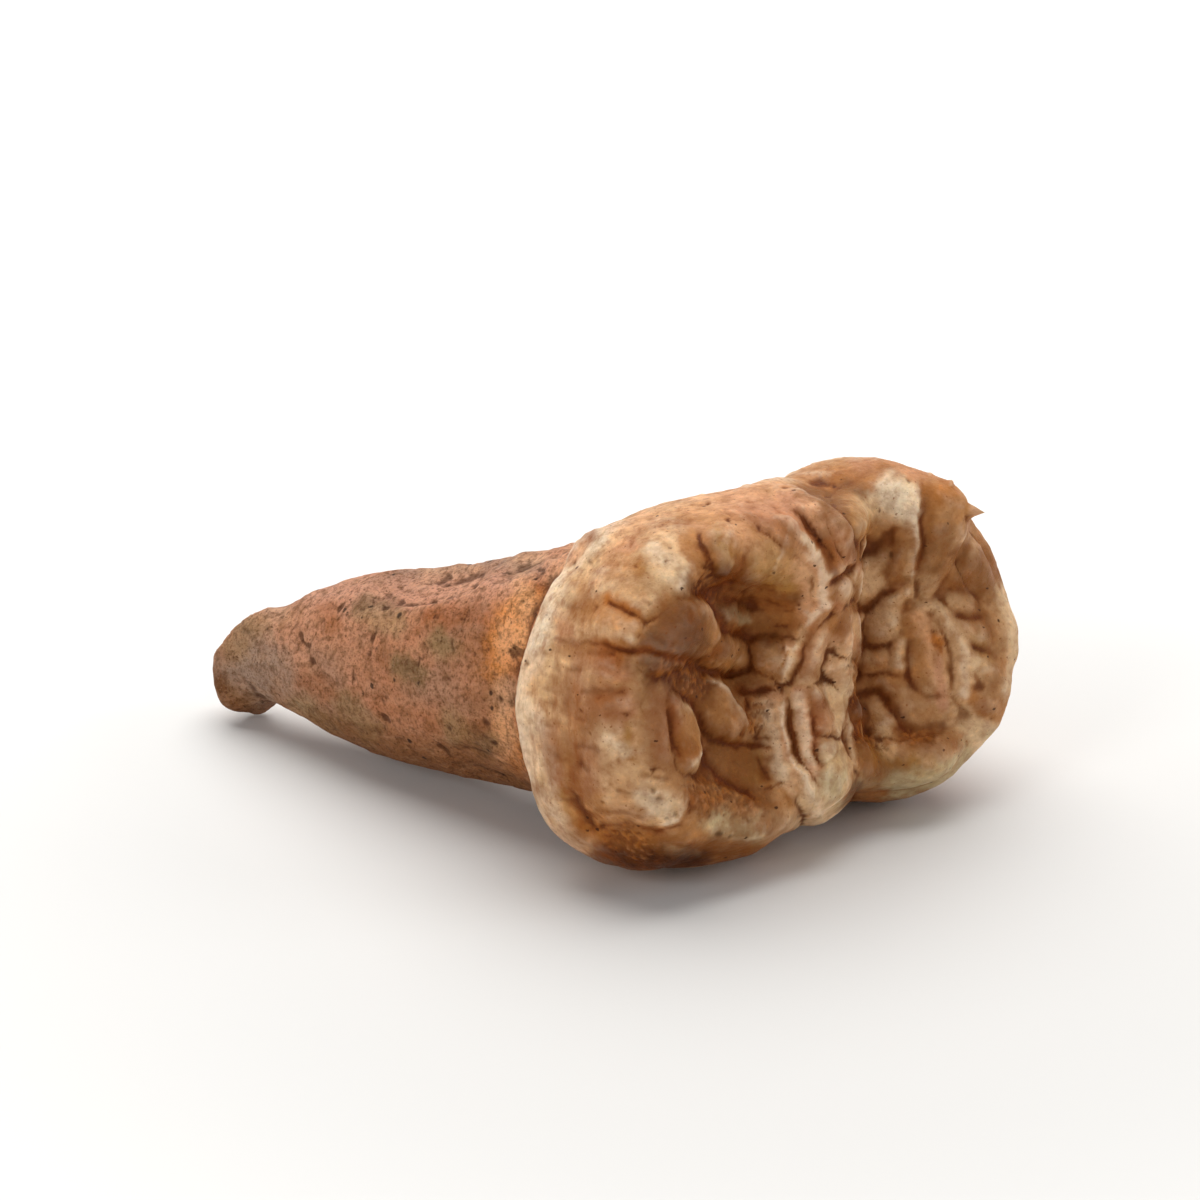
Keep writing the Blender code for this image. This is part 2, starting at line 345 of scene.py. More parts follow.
dome([(838, 668), (840, 690)], 15, 0.38, 11)
dome([(797, 698), (805, 735), (815, 775)], 15, 0.34, 13)
dome([(825, 700), (827, 726)], 19, 0.50, 18)
dome([(828, 752), (829, 785), (822, 806)], 21, 0.46, 22)
dome([(847, 730), (849, 762)], 8, 0.26)
# the wrinkled lobe above the waist
swell([(760, 505), (800, 515), (822, 535)], 44, 0.16)
ridge([(767, 489), (797, 498), (827, 512), (841, 528), (852, 552), (846, 567), (832, 577)], 7, 26, 0.40)
swell([(812, 530), (828, 548)], 20, -0.20)
groove([(854, 566), (842, 574), (828, 582)], 4, 0.5)
groove([(797, 517), (812, 534), (822, 552), (829, 572)], 5, 0.22)
for line in ([(735, 512), (750, 520), (766, 535), (784, 552)], [(752, 512), (772, 528), (790, 545)],
             [(768, 506), (790, 527), (806, 541)], [(782, 505), (800, 520), (812, 531)],
             [(742, 505), (760, 515)], [(784, 553), (800, 559), (813, 567)], [(757, 528), (776, 546)],
             [(658, 530), (674, 524), (690, 528)], [(798, 545), (808, 553)], [(720, 508), (736, 522)]):
    groove(line, 3.0, 0.10)
for line in ([(719, 592), (750, 597), (785, 600), (809, 601)], [(724, 583), (756, 588), (800, 590)], [(722, 604), (760, 609), (800, 611)],
             [(752, 556), (742, 572), (734, 584)], [(772, 626), (790, 628)], [(640, 790), (662, 786)], [(598, 806), (622, 812)],
             [(600, 790), (612, 790)], [(690, 812), (706, 824)], [(744, 818), (752, 830)], [(615, 748), (622, 768)],
             [(652, 690), (654, 720)], [(664, 650), (672, 640)], [(684, 605), (684, 622)], [(770, 700), (776, 728)],
             [(716, 706), (732, 722)], [(644, 560), (632, 572)], [(655, 588), (640, 604)], [(724, 536), (716, 552)],
             [(732, 538), (730, 560)], [(782, 640), (786, 655)], [(620, 655), (618, 680)]):
    groove(line, 2.6, 0.07)
groove([(706, 503)], 4, 0.16)
groove([(722, 522), (731, 522)], 4, 0.18)

# Back lobe
dome([(862, 512), (888, 496), (903, 505)], 26, 0.30, 20)
ridge([(914, 482), (918, 500), (918, 530), (915, 556), (909, 600)], 6, 14, 0.26)
swell([(860, 545), (890, 540)], 20, -0.22)
dome([(899, 540), (897, 572)], 7, 0.18)
dome([(883, 556), (881, 578)], 7, 0.14)
dome([(960, 532), (944, 556), (930, 584), (915, 606)], 10, 0.22, 8)
dome([(942, 530), (931, 552), (921, 575)], 8, 0.18)
dome([(972, 552), (958, 578)], 9, 0.14)
dome([(860, 588), (870, 573)], 17, 0.36, 14)
dome([(894, 606), (901, 594)], 12, 0.26, 9)
dome([(874, 630), (889, 620)], 15, 0.34, 14)
dome([(865, 659), (878, 660)], 12, 0.26)
dome([(900, 640), (899, 665)], 8, 0.22)
dome([(884, 684), (900, 692)], 11, 0.20, 9)
dome([(872, 712), (882, 722)], 17, 0.34, 13)
dome([(868, 758), (900, 756)], 17, 0.22, 13)
dome([(925, 756), (948, 746)], 13, 0.20)
dome([(954, 603), (965, 606)], 11, 0.32)
dome([(964, 630), (979, 636)], 13, 0.34, 11)
dome([(976, 662), (985, 668)], 11, 0.26)
dome([(976, 700), (988, 706)], 11, 0.20)
dome([(905, 708), (920, 716), (942, 712)], 17, 0.26, 15)
dome([(914, 618), (919, 650), (930, 682)], 14, 0.26, 14)
dome([(914, 606), (930, 606), (946, 618), (957, 640), (966, 665), (964, 692)], 9, 0.34, 11)
dome([(930, 622), (938, 650), (944, 690)], 8, 0.20, 10)

# Furrows between them: course, half-width, depth
for line, half, depth in (
    ([(600, 644), (622, 649), (645, 652), (668, 660), (698, 660)], 4, 0.36),
    ([(606, 603), (622, 608), (636, 617)], 4, 0.20), ([(592, 697), (610, 699), (628, 692)], 5, 0.12), ([(600, 716), (632, 714)], 4, 0.10), ([(596, 670), (622, 676)], 4, 0.10),
    ([(611, 652), (613, 658)], 8, 0.20), ([(699, 540), (705, 558), (703, 574)], 9, 0.16),
    ([(749, 546), (744, 562), (736, 582), (722, 594), (706, 600)], 5, 0.30), ([(704, 596), (717, 612), (722, 634)], 5, 0.30),
    ([(716, 600), (740, 604), (775, 603), (800, 606)], 8, 0.16), ([(720, 628), (742, 637), (764, 641)], 8, 0.20), ([(748, 643), (751, 655), (746, 670)], 5, 0.14),
    ([(715, 640), (708, 655), (690, 668)], 5, 0.24), ([(695, 671), (722, 676), (748, 670)], 4, 0.28),
    ([(734, 690), (755, 692), (774, 688)], 6, 0.20), ([(744, 696), (747, 710), (744, 724)], 4, 0.22),
    ([(684, 697), (697, 712), (704, 730), (710, 742)], 4, 0.32), ([(708, 742), (722, 743), (745, 746), (768, 747)], 4, 0.28),
    ([(741, 733)], 4, 0.22), ([(663, 703), (669, 724), (675, 744), (682, 766)], 4, 0.30), ([(683, 696)], 6, 0.22),
    ([(632, 823), (656, 831), (680, 824), (691, 806), (690, 786)], 4.5, 0.22), ([(590, 808), (612, 818), (634, 824)], 5, 0.12),
    ([(708, 750), (704, 770), (694, 786)], 5, 0.22), ([(708, 766), (724, 780), (742, 789), (758, 803)], 4.5, 0.32),
    ([(785, 702), (790, 725), (794, 745), (801, 768)], 4, 0.34), ([(812, 698), (812, 725), (811, 742), (818, 772)], 3.5, 0.30),
    ([(815, 738), (842, 740)], 3.5, 0.16), ([(831, 582), (826, 606), (811, 638), (801, 664), (791, 688)], 6, 0.10),
    ([(840, 618), (829, 640), (822, 668)], 6, 0.18), ([(834, 660), (828, 682)], 5, 0.10), ([(845, 700), (842, 722), (845, 760)], 3, 0.22),
    ([(921, 505), (923, 530), (919, 560), (911, 592)], 4, 0.20), ([(944, 572), (932, 598)], 4, 0.12),
    ([(906, 640), (905, 665), (909, 688)], 4, 0.22), ([(936, 640), (944, 650)], 6, 0.16),
    ([(944, 655), (950, 675), (947, 694)], 3.5, 0.12), ([(862, 693), (878, 691), (891, 708), (899, 728), (913, 739), (931, 733)], 5, 0.30),
    ([(855, 720), (863, 738)], 8, 0.24), ([(906, 582), (898, 590), (880, 596), (866, 610), (846, 613)], 4, 0.24),
    ([(858, 648), (882, 646), (893, 640)], 4, 0.16), ([(854, 668), (861, 680)], 4, 0.20), ([(866, 674), (888, 674)], 4, 0.14),
    ([(948, 617), (960, 620), (985, 618)], 4, 0.14), ([(965, 650), (985, 650)], 4, 0.14), ([(986, 712), (992, 722)], 4, 0.16),
    ([(968, 685), (985, 688)], 5, 0.12),
):
    groove(line, half, depth)

# a ragged ledge of red bone against the enamel's upper edge, and small chips on the silhouettes
for x, y, r, h in ((592, 530, 7, 0.30), (583, 536, 6, 0.34), (573, 544, 7, 0.30), (563, 549, 5, 0.22), (556, 557, 6, 0.26),
                   (548, 566, 6, 0.20), (541, 578, 6, 0.16), (877, 457, 4, 0.20), (928, 474, 4, 0.16), (951, 482, 5, 0.22),
                   (702, 493, 4, 0.10), (745, 488, 5, 0.12), (812, 464, 4, 0.14), (800, 468, 3, 0.12)):
    swell([(x, y)], r, h)

# grit clinging in the hollows: place, reach
gritty = np.zeros(len(base))
for line, r in (([(757, 708), (758, 726)], 11), ([(698, 795), (725, 800), (745, 806)], 19), ([(668, 668), (692, 684)], 18), 
                ([(706, 576), (712, 600)], 14), ([(700, 660), (716, 672)], 9), ([(848, 668), (850, 700)], 9), ([(862, 736), (880, 742)], 12),
                ([(600, 830), (640, 846)], 16), ([(940, 642)], 8), ([(905, 738), (930, 738)], 8)):
    ids, d, _, _ = near(line, r * 1.4)
    gritty[ids] = np.maximum(gritty[ids], (1 - step(d / r, 0.3, 1.4)) * shown[ids])

# Black specks and pits
specks = [(572, 567), (558, 621), (527, 663), (580, 711), (593, 735), (570, 817), (706, 503), (647, 605), (657, 797), (784, 647),
          (740, 733), (843, 666), (880, 509), (905, 480), (932, 633), (769, 481), (652, 791), (675, 813), (661, 661), (830, 497),
          (683, 697), (797, 604), (727, 522), (653, 771), (530, 783), (820, 540), (826, 496), (717, 834), (727, 836), (590, 563),
          (672, 552), (667, 567), (890, 555), (833, 485), (548, 700), (560, 760), (605, 800), (640, 845), (795, 733), (664, 815)]


# --- Painting: soft washes of a small palette, laid one over another -----------------------------
def lin(r, g, b):
    return np.array([((c / 255 + 0.055) / 1.055) ** 2.4 if c > 10 else c / 255 / 12.92 for c in (r, g, b)])


PALETTE = {
    "white": lin(242, 222, 196), "ivory": lin(230, 196, 158), "pale": lin(218, 176, 134), "peach": lin(228, 172, 130),
    "rose": lin(202, 144, 114), "tan": lin(188, 132, 82), "olive": lin(170, 122, 60), "ochre": lin(184, 108, 34),
    "mauve": lin(164, 112, 80), "rust": lin(146, 76, 26), "brown": lin(134, 80, 32), "greybrown": lin(118, 76, 40),
    "umber": lin(98, 48, 12), "dark": lin(62, 28, 6), "black": lin(40, 26, 16), "flame": lin(230, 148, 80),
    "cream": lin(234, 194, 150), "clay": lin(178, 120, 86), "slate": lin(146, 116, 96), "moss": lin(140, 114, 80), "greenwhite": lin(206, 188, 150),
}
mottle, fleck = field(uvw, 1.1, 3, 71.0), field(uvw, 0.4, 2, 47.0)
tone = np.zeros((len(base), 3))


def blend(name, k):
    tone[:] += (PALETTE[name] - tone) * np.clip(k, 0, 1)[:, None]


def wash(name, strength, r, *strokes):
    for points in strokes:
        ids, d, _, _ = near(points, r * 1.9)
        k = strength * (1 - step(d / r + 0.45 * mottle[ids] + 0.25 * fleck[ids], 0.25, 1.45)) * shown[ids]
        tone[ids] += (PALETTE[name] - tone[ids]) * k[:, None]


neck = uvw[:, 2] + 0.35 * np.sin(uvw[:, 0] * 0.55) + 0.25 * np.cos(uvw[:, 1] * 0.8)
root = 1 - step(neck, 0.1, 0.55)
cloud = field(uvw, 4.0, 3, 17.0)
patch = field(uvw, 5.5, 4, 43.0, (1, 1, 0.6))
blend("tan", np.ones(len(base)))
blend("pale", step(cloud, -0.25, 0.45) * 0.8)
blend("brown", step(mottle + 0.6 * cloud, 0.25, 0.9) * 0.45)
blend("pale", step(4.6 - uvw[:, 2], -1, 2.5) * 0.55)
blend("brown", step(uvw[:, 2], 5.5, 7.0) * (1 - step(uvw[:, 2], 7.2, 8.2)) * 0.35)
# painted shade: surfaces facing downwards are darkened towards rust
underside_shade = step(-base_n[:, 2], 0.25, 0.9)
blend("rust", underside_shade * 0.5)

# chewing face and walls of the front lobe
wash("peach", 0.8, 26, [(600, 560), (640, 522), (700, 505), (760, 500)])
wash("pale", 0.5, 16, [(608, 540), (650, 515), (700, 500)])
wash("rose", 0.6, 20, [(735, 505), (775, 515), (800, 530)])
wash("rose", 0.6, 14, [(782, 503), (820, 512), (842, 535), (848, 560)], [(640, 545), (600, 575)])
wash("tan", 0.7, 14, [(690, 516), (725, 525), (745, 538)], [(640, 565), (610, 568)])
wash("rust", 0.7, 13, [(818, 530), (828, 555)])
wash("umber", 0.7, 5, [(797, 517), (812, 534), (822, 552), (830, 574)])
wash("mauve", 0.5, 12, [(750, 520), (775, 535), (800, 555)], [(655, 528), (690, 528)])
wash("cream", 1.0, 28, [(566, 566), (540, 606), (526, 650), (522, 710), (530, 770)])
wash("cream", 0.7, 22, [(590, 545), (560, 590)], [(566, 690), (560, 730)])
wash("mauve", 0.4, 18, [(590, 600), (584, 660), (586, 720), (590, 765)])
wash("brown", 0.45, 14, [(545, 645), (588, 645)], [(572, 606), (592, 600)], [(552, 745), (572, 790), (600, 800)])
wash("olive", 0.4, 16, [(548, 790), (575, 825)])
wash("ivory", 0.85, 25, [(666, 550), (672, 572)])
wash("ivory", 0.7, 21, [(610, 588), (640, 598), (656, 592)])
wash("olive", 0.3, 14, [(640, 575), (655, 592)])
wash("ivory", 0.8, 12, [(608, 622), (634, 632)])
wash("rose", 0.5, 14, [(604, 670), (622, 672)], [(604, 705), (628, 706)])
wash("ochre", 0.85, 8, [(608, 603), (624, 608), (634, 616)], [(611, 652), (616, 658)])
wash("rust", 0.6, 5, [(600, 644), (622, 649), (645, 652), (668, 660)], [(600, 698), (622, 693)], [(608, 716), (628, 714)])
wash("greybrown", 0.95, 28, [(660, 650), (694, 628)])
wash("umber", 0.5, 20, [(664, 642), (690, 616)])
wash("mauve", 0.4, 10, [(672, 630), (668, 650)])
wash("greybrown", 0.7, 20, [(650, 665), (690, 668)])
wash("umber", 0.8, 26, [(666, 668), (692, 690)])
wash("tan", 0.7, 6, [(704, 604), (712, 620), (713, 635), (706, 646)])
wash("olive", 0.75, 15, [(722, 542), (722, 562)])
# the umber and dark washes here darken the deep hollow left of the great cusp: brown stain with painted shade
wash("umber", 0.95, 22, [(702, 584), (725, 596), (737, 585)])
wash("brown", 0.6, 12, [(699, 545), (704, 565)], [(744, 560), (736, 580)])
wash("dark", 0.5, 10, [(722, 592), (722, 606), (740, 592)])
wash("umber", 0.5, 16, [(735, 600), (775, 602), (800, 606)])
wash("umber", 0.7, 8, [(706, 600), (719, 615), (722, 635)])
wash("umber", 0.6, 14, [(722, 575), (728, 590)])
wash("dark", 0.5, 8, [(700, 592), (735, 594)])
wash("olive", 0.75, 20, [(762, 560), (786, 576)])
wash("tan", 0.9, 14, [(800, 566), (812, 584), (810, 604), (798, 628)])
wash("peach", 0.6, 10, [(806, 560), (812, 590), (802, 620), (790, 648)])
wash("brown", 0.75, 12, [(728, 596), (765, 600), (806, 603)])
wash("brown", 0.5, 14, [(745, 626), (790, 628)])
wash("umber", 0.5, 9, [(742, 594), (800, 598)])
wash("brown", 0.45, 20, [(760, 625), (795, 625)])
wash("greenwhite", 0.45, 7, [(733, 616), (743, 618)])
wash("umber", 0.7, 6, [(722, 628), (742, 637), (766, 640)])
wash("pale", 0.75, 10, [(720, 646), (732, 652), (738, 658)])
wash("olive", 0.5, 9, [(718, 662), (728, 666)])
wash("umber", 0.5, 4, [(748, 641), (752, 655), (747, 672)])
wash("brown", 0.6, 14, [(745, 680), (770, 672)], [(714, 664), (720, 672)])
wash("pale", 0.55, 9, [(762, 648), (776, 655)])
# painted highlight along the crest of the great inner cusp
wash("pale", 0.95, 5, [(800, 541), (815, 552), (823, 572), (821, 598), (810, 620), (798, 643), (790, 664), (781, 688)])
wash("tan", 0.6, 12, [(718, 700), (728, 716)])
wash("brown", 0.5, 12, [(698, 700), (710, 722), (720, 735)])
wash("pale", 0.9, 4, [(706, 680), (722, 693), (737, 709), (745, 723)])
wash("rust", 0.8, 7, [(664, 706), (670, 726), (677, 746)])
wash("ochre", 0.8, 9, [(682, 745), (688, 756)])
wash("tan", 0.5, 8, [(680, 715), (686, 735)])
wash("pale", 0.9, 4.5, [(680, 703), (691, 716), (698, 735), (698, 752), (690, 768)])
wash("mauve", 0.8, 15, [(655, 700), (660, 755)])
wash("ivory", 0.7, 22, [(608, 728), (606, 762)])
wash("olive", 0.6, 5, [(627, 725), (627, 748)])
wash("pale", 0.5, 9, [(640, 730), (642, 762)])
wash("cream", 0.6, 13, [(560, 630), (590, 628)], [(556, 668), (584, 676)])
wash("umber", 0.6, 8, [(706, 745), (735, 747), (768, 745)], [(705, 752), (702, 780)])
wash("rust", 0.5, 6, [(736, 690), (772, 690)])
wash("ochre", 0.6, 9, [(752, 705), (757, 725)])
wash("umber", 0.8, 16, [(718, 768), (724, 780), (745, 788)])
wash("olive", 0.75, 20, [(735, 758), (768, 768)])
wash("pale", 0.35, 12, [(728, 756), (748, 760)])
wash("ochre", 0.5, 12, [(776, 752), (772, 775)])
wash("umber", 0.7, 6, [(708, 766), (724, 780), (742, 789), (758, 803)])
wash("brown", 0.75, 15, [(700, 795), (715, 805), (748, 802)])
wash("ochre", 0.45, 10, [(705, 806), (690, 800)], [(735, 815), (750, 822)])
wash("pale", 0.85, 27, [(622, 785), (655, 800), (664, 806)])
wash("ivory", 0.4, 14, [(640, 800), (668, 808)])
wash("mauve", 0.35, 8, [(620, 806), (640, 812)])
wash("greenwhite", 0.7, 14, [(712, 824), (752, 828), (790, 816)])
wash("tan", 0.5, 10, [(680, 836), (700, 838)])
wash("ochre", 0.5, 12, [(780, 808), (798, 806)])
wash("peach", 0.5, 14, [(770, 826), (800, 818)])
# painted shade: the brown, umber and dark washes along the front lobe's underside, where it meets the floor
wash("brown", 0.85, 18, [(585, 830), (620, 842), (665, 850), (740, 850)])
wash("ochre", 0.35, 12, [(580, 820), (600, 842)])
wash("umber", 0.95, 14, [(600, 858), (660, 868), (700, 860)])
wash("dark", 0.6, 9, [(615, 862), (660, 866), (700, 858)])
wash("pale", 0.6, 5, [(668, 850), (694, 853)])
# the folds
wash("peach", 0.7, 6, [(778, 692), (783, 712), (787, 738), (796, 760)])
wash("ivory", 0.85, 14, [(800, 768), (815, 790), (822, 806)])
wash("pale", 0.7, 12, [(838, 772), (826, 800)])
wash("brown", 0.8, 5, [(786, 702), (791, 725), (794, 748)])
wash("rose", 0.7, 9, [(800, 695), (804, 722), (808, 742), (814, 776)])
wash("peach", 0.7, 4, [(805, 690), (806, 722)], [(811, 740), (816, 772)])
wash("rust", 0.6, 4, [(812, 698), (812, 738)], [(815, 745), (817, 775)])
wash("clay", 0.6, 14, [(822, 700), (824, 722)])
wash("pale", 0.9, 10, [(830, 692), (836, 706), (837, 726)])
wash("brown", 0.5, 4, [(815, 737), (838, 737)])
wash("greenwhite", 0.8, 15, [(828, 752), (830, 785)])
wash("pale", 0.8, 4, [(836, 692), (842, 712), (843, 735)], [(843, 745), (846, 765), (838, 785)])
wash("clay", 0.6, 9, [(838, 585), (833, 606)], [(816, 625), (806, 672)])
wash("pale", 0.7, 4, [(845, 585), (841, 606)], [(824, 600), (818, 640)])
wash("peach", 0.7, 13, [(845, 618), (849, 645)])
wash("ivory", 0.7, 8, [(842, 660), (842, 690)])
wash("brown", 0.5, 6, [(829, 590), (822, 612)], [(836, 630), (824, 660)])
# back lobe
wash("tan", 0.8, 22, [(800, 472), (850, 470), (900, 478)])
wash("rose", 0.5, 14, [(860, 465), (900, 470), (940, 480)])
wash("ochre", 0.35, 13, [(815, 490), (840, 480), (870, 488)])
wash("greybrown", 0.5, 10, [(830, 500), (842, 492)])
wash("ivory", 1.0, 19, [(896, 495), (902, 512)])
wash("pale", 0.9, 14, [(862, 505), (880, 515)])
wash("olive", 0.45, 13, [(846, 520), (870, 530)])
wash("tan", 0.9, 18, [(935, 490), (960, 505)])
wash("ochre", 0.5, 10, [(925, 492), (950, 490)], [(930, 508)])
wash("umber", 0.6, 9, [(852, 548), (876, 546)])
wash("brown", 0.6, 8, [(895, 530), (892, 556)])
wash("umber", 0.65, 6, [(922, 505), (923, 530), (917, 556)])
wash("brown", 0.5, 9, [(930, 535), (925, 550)])
wash("greybrown", 0.55, 13, [(945, 530), (932, 560), (920, 580)])
wash("pale", 0.7, 4, [(915, 500), (916, 525), (911, 550), (908, 572)])
wash("brown", 0.7, 14, [(965, 560), (978, 585)], [(985, 560), (995, 590)])
wash("rust", 0.5, 8, [(958, 585), (965, 578)])
wash("pale", 0.8, 15, [(862, 585), (872, 575)])
wash("pale", 0.6, 9, [(893, 600), (903, 592)])
wash("ivory", 0.5, 10, [(880, 618), (890, 618)])
wash("brown", 0.6, 7, [(898, 582), (884, 593), (866, 606), (846, 612)], [(858, 645), (880, 650), (895, 655)])
wash("pale", 0.6, 9, [(870, 657)])
wash("pale", 0.5, 5, [(900, 640), (900, 660)])
wash("rust", 0.7, 6, [(856, 670), (862, 682)])
wash("peach", 0.55, 10, [(920, 615), (930, 655), (938, 695)])
wash("tan", 0.5, 14, [(912, 660), (920, 690)])
wash("ochre", 0.9, 8, [(936, 640), (943, 650)])
wash("ochre", 0.5, 3, [(946, 655), (950, 675), (948, 690)])
wash("pale", 0.75, 5, [(930, 605), (945, 615), (956, 632), (965, 660), (966, 685)])
wash("rose", 0.6, 6, [(938, 660), (940, 705)])
wash("umber", 0.6, 5, [(906, 642), (905, 665), (909, 688)])
wash("pale", 0.85, 9, [(954, 600), (963, 605)])
wash("pale", 0.9, 10, [(963, 630), (977, 637)])
wash("ivory", 0.8, 8, [(974, 662), (983, 667)])
wash("ochre", 0.6, 11, [(968, 690), (980, 706)])
wash("brown", 0.6, 6, [(948, 617), (985, 618)], [(966, 650), (986, 650)])
wash("umber", 0.75, 7, [(862, 693), (876, 691), (889, 701), (897, 717), (906, 733), (924, 736), (942, 729)])
wash("pale", 0.55, 8, [(875, 705), (890, 722)])
# painted shade on the back lobe beside the front lobe's overhanging edge
wash("umber", 1.0, 15, [(852, 712), (860, 740)])
wash("umber", 0.6, 12, [(856, 640), (856, 700)])
wash("tan", 0.5, 10, [(915, 715), (930, 715)])
wash("brown", 0.5, 14, [(925, 745), (950, 740)])
wash("olive", 0.7, 11, [(862, 750), (900, 762), (930, 765)])
wash("greenwhite", 0.85, 15, [(900, 788), (940, 780), (968, 762), (984, 740)])
wash("greenwhite", 0.5, 12, [(858, 780), (890, 780)])
wash("ivory", 0.8, 9, [(1002, 590), (1012, 620), (1014, 650), (1005, 690)])
wash("brown", 0.5, 13, [(990, 620), (995, 690)])

# corrections over the whole crown
wash("mauve", 0.7, 15, [(578, 668), (576, 690), (574, 716), (590, 712)], [(586, 752), (588, 786)], [(550, 728), (553, 768)])
wash("clay", 0.75, 13, [(604, 698), (614, 716)], [(606, 662)], [(560, 620), (562, 632)])
wash("brown", 0.3, 22, [(562, 690), (572, 730), (575, 780)], [(600, 700), (606, 724)])
wash("tan", 0.5, 12, [(722, 768), (738, 752)], [(682, 742), (676, 784)])
wash("brown", 0.35, 11, [(600, 762), (640, 790)], [(684, 752), (676, 782)], [(648, 720), (655, 760)])
wash("tan", 0.45, 12, [(645, 540), (668, 556)], [(626, 590), (636, 596)], [(672, 598), (666, 608)])
wash("tan", 0.7, 11, [(600, 616), (632, 628)])
wash("brown", 0.6, 10, [(710, 652), (720, 646)], [(726, 750), (752, 764), (735, 772)], [(760, 800), (772, 812), (764, 828)])
wash("greybrown", 0.5, 10, [(722, 610), (732, 616)], [(678, 600), (684, 616)])
wash("brown", 0.4, 10, [(722, 690), (736, 712), (742, 728)], [(738, 824), (790, 822)], [(698, 795), (704, 808)])
wash("brown", 0.45, 12, [(908, 738), (948, 746)], [(858, 728), (862, 755)], [(852, 780), (876, 776)])
# painted shade in the notch between the lobes
wash("dark", 0.6, 8, [(838, 808), (856, 786)])
wash("greybrown", 0.6, 10, [(810, 492), (832, 506), (842, 516)], [(848, 486), (860, 492)])
wash("brown", 0.6, 8, [(850, 535), (856, 560)], [(848, 588), (846, 610), (834, 626)], [(925, 495), (932, 520)], [(958, 548), (962, 585)])
wash("umber", 0.5, 2.6, [(552, 640), (575, 643), (600, 645)], [(560, 604), (590, 612)], [(556, 668), (580, 672)], [(582, 690), (612, 692)],
     [(560, 760), (590, 770)], [(598, 806), (640, 815)], [(610, 822), (650, 828)], [(575, 745), (600, 752)], [(545, 700), (565, 703)],
     [(590, 655), (612, 652)], [(640, 775), (665, 780)], [(618, 788), (660, 800)], [(575, 720), (585, 722)], [(535, 720), (556, 726)],
     [(540, 690), (552, 690)], [(566, 800), (590, 812)], [(536, 655), (548, 655)])
wash("brown", 0.35, 13, [(622, 790), (650, 806)], [(872, 712), (882, 722)], [(868, 758), (900, 757)], [(862, 634), (872, 660)])
wash("pale", 0.5, 9, [(884, 596), (892, 612)], [(866, 582)])
wash("olive", 0.4, 8, [(824, 755), (830, 768)], [(975, 634), (984, 660)])
wash("white", 0.85, 14, [(590, 540), (574, 556), (560, 576)], [(545, 600), (535, 640)], [(520, 735), (524, 765)])
wash("peach", 0.6, 13, [(800, 566), (814, 590), (806, 612)])
wash("tan", 0.75, 10, [(692, 545), (698, 575)], [(704, 612), (708, 630)], [(736, 650), (752, 656)])
wash("tan", 0.5, 10, [(690, 556), (712, 560)], [(740, 536), (760, 545)])
wash("peach", 0.8, 9, [(768, 700), (774, 724), (780, 752)], [(784, 762), (792, 790)])
wash("ivory", 0.8, 11, [(800, 800), (812, 812)])
wash("ivory", 0.85, 10, [(826, 645), (828, 672), (824, 692)], [(836, 722), (838, 740)])
wash("white", 0.75, 15, [(884, 492), (900, 496), (906, 514)])
wash("ivory", 0.6, 14, [(870, 506), (892, 522)])
wash("tan", 0.55, 11, [(868, 540), (886, 540)])
wash("pale", 0.45, 11, [(868, 590), (876, 580)], [(882, 624), (888, 650)], [(922, 584), (940, 596)], [(938, 604), (962, 655), (962, 690)])
wash("ivory", 0.5, 10, [(964, 722), (984, 726)])
wash("peach", 0.4, 10, [(700, 528), (704, 545)], [(730, 530), (745, 540)], [(812, 515), (820, 528)])

wash("rust", 0.6, 8, [(608, 654), (614, 660)])
wash("brown", 0.55, 12, [(706, 656), (718, 646)], [(716, 750), (736, 764), (752, 756)], [(676, 746), (680, 764), (690, 790)], [(690, 800), (704, 806)])
wash("brown", 0.4, 13, [(664, 610), (684, 604), (688, 622)], [(645, 690), (655, 704)], [(532, 735), (546, 748)], [(740, 815), (764, 800)])
wash("brown", 0.45, 9, [(808, 640), (818, 628), (832, 618)], [(806, 694), (812, 700)], [(914, 736), (924, 732)], [(978, 704), (984, 708)], [(858, 722), (864, 745)])
wash("peach", 0.6, 12, [(806, 560), (816, 584), (806, 612)], [(826, 645), (830, 672)], [(770, 700), (776, 735)])
wash("tan", 0.65, 12, [(690, 545), (702, 566), (706, 582)], [(738, 644), (756, 654)], [(716, 668), (770, 672)], [(705, 720), (700, 745)])
wash("cream", 0.55, 11, [(894, 488), (908, 505)], [(804, 800), (812, 815)], [(794, 705), (802, 755)], [(880, 730), (890, 750)])
wash("tan", 0.6, 12, [(872, 532), (894, 538)], [(868, 610), (888, 632), (896, 660)], [(858, 680), (870, 690)])
wash("pale", 0.6, 10, [(916, 596), (934, 610)], [(956, 650), (962, 690)], [(962, 706), (978, 742)])
wash("peach", 0.5, 12, [(690, 505), (740, 495), (775, 484)], [(630, 520), (640, 512)], [(810, 512), (818, 526)], [(735, 535), (748, 545)], [(808, 476), (818, 478)])
wash("tan", 0.5, 10, [(884, 470), (894, 474)], [(818, 492), (834, 510), (846, 530)], [(570, 580), (580, 584)], [(606, 574), (610, 580)])

wash("greybrown", 0.55, 12, [(806, 494), (826, 504), (840, 520)])
wash("brown", 0.45, 10, [(846, 538), (854, 558)], [(716, 642), (722, 652)], [(856, 728), (858, 750)], [(906, 736), (924, 744)])
wash("tan", 0.5, 12, [(590, 612), (628, 626)], [(534, 660), (532, 690)], [(690, 548), (698, 562)], [(740, 645), (756, 665)])
wash("brown", 0.35, 13, [(660, 606), (688, 612), (690, 630)], [(722, 748), (750, 760), (742, 784)], [(602, 660), (614, 664)])
wash("brown", 0.3, 10, [(600, 700), (610, 704)], [(958, 572), (964, 588)], [(968, 604), (978, 612)], [(862, 766), (895, 768)])
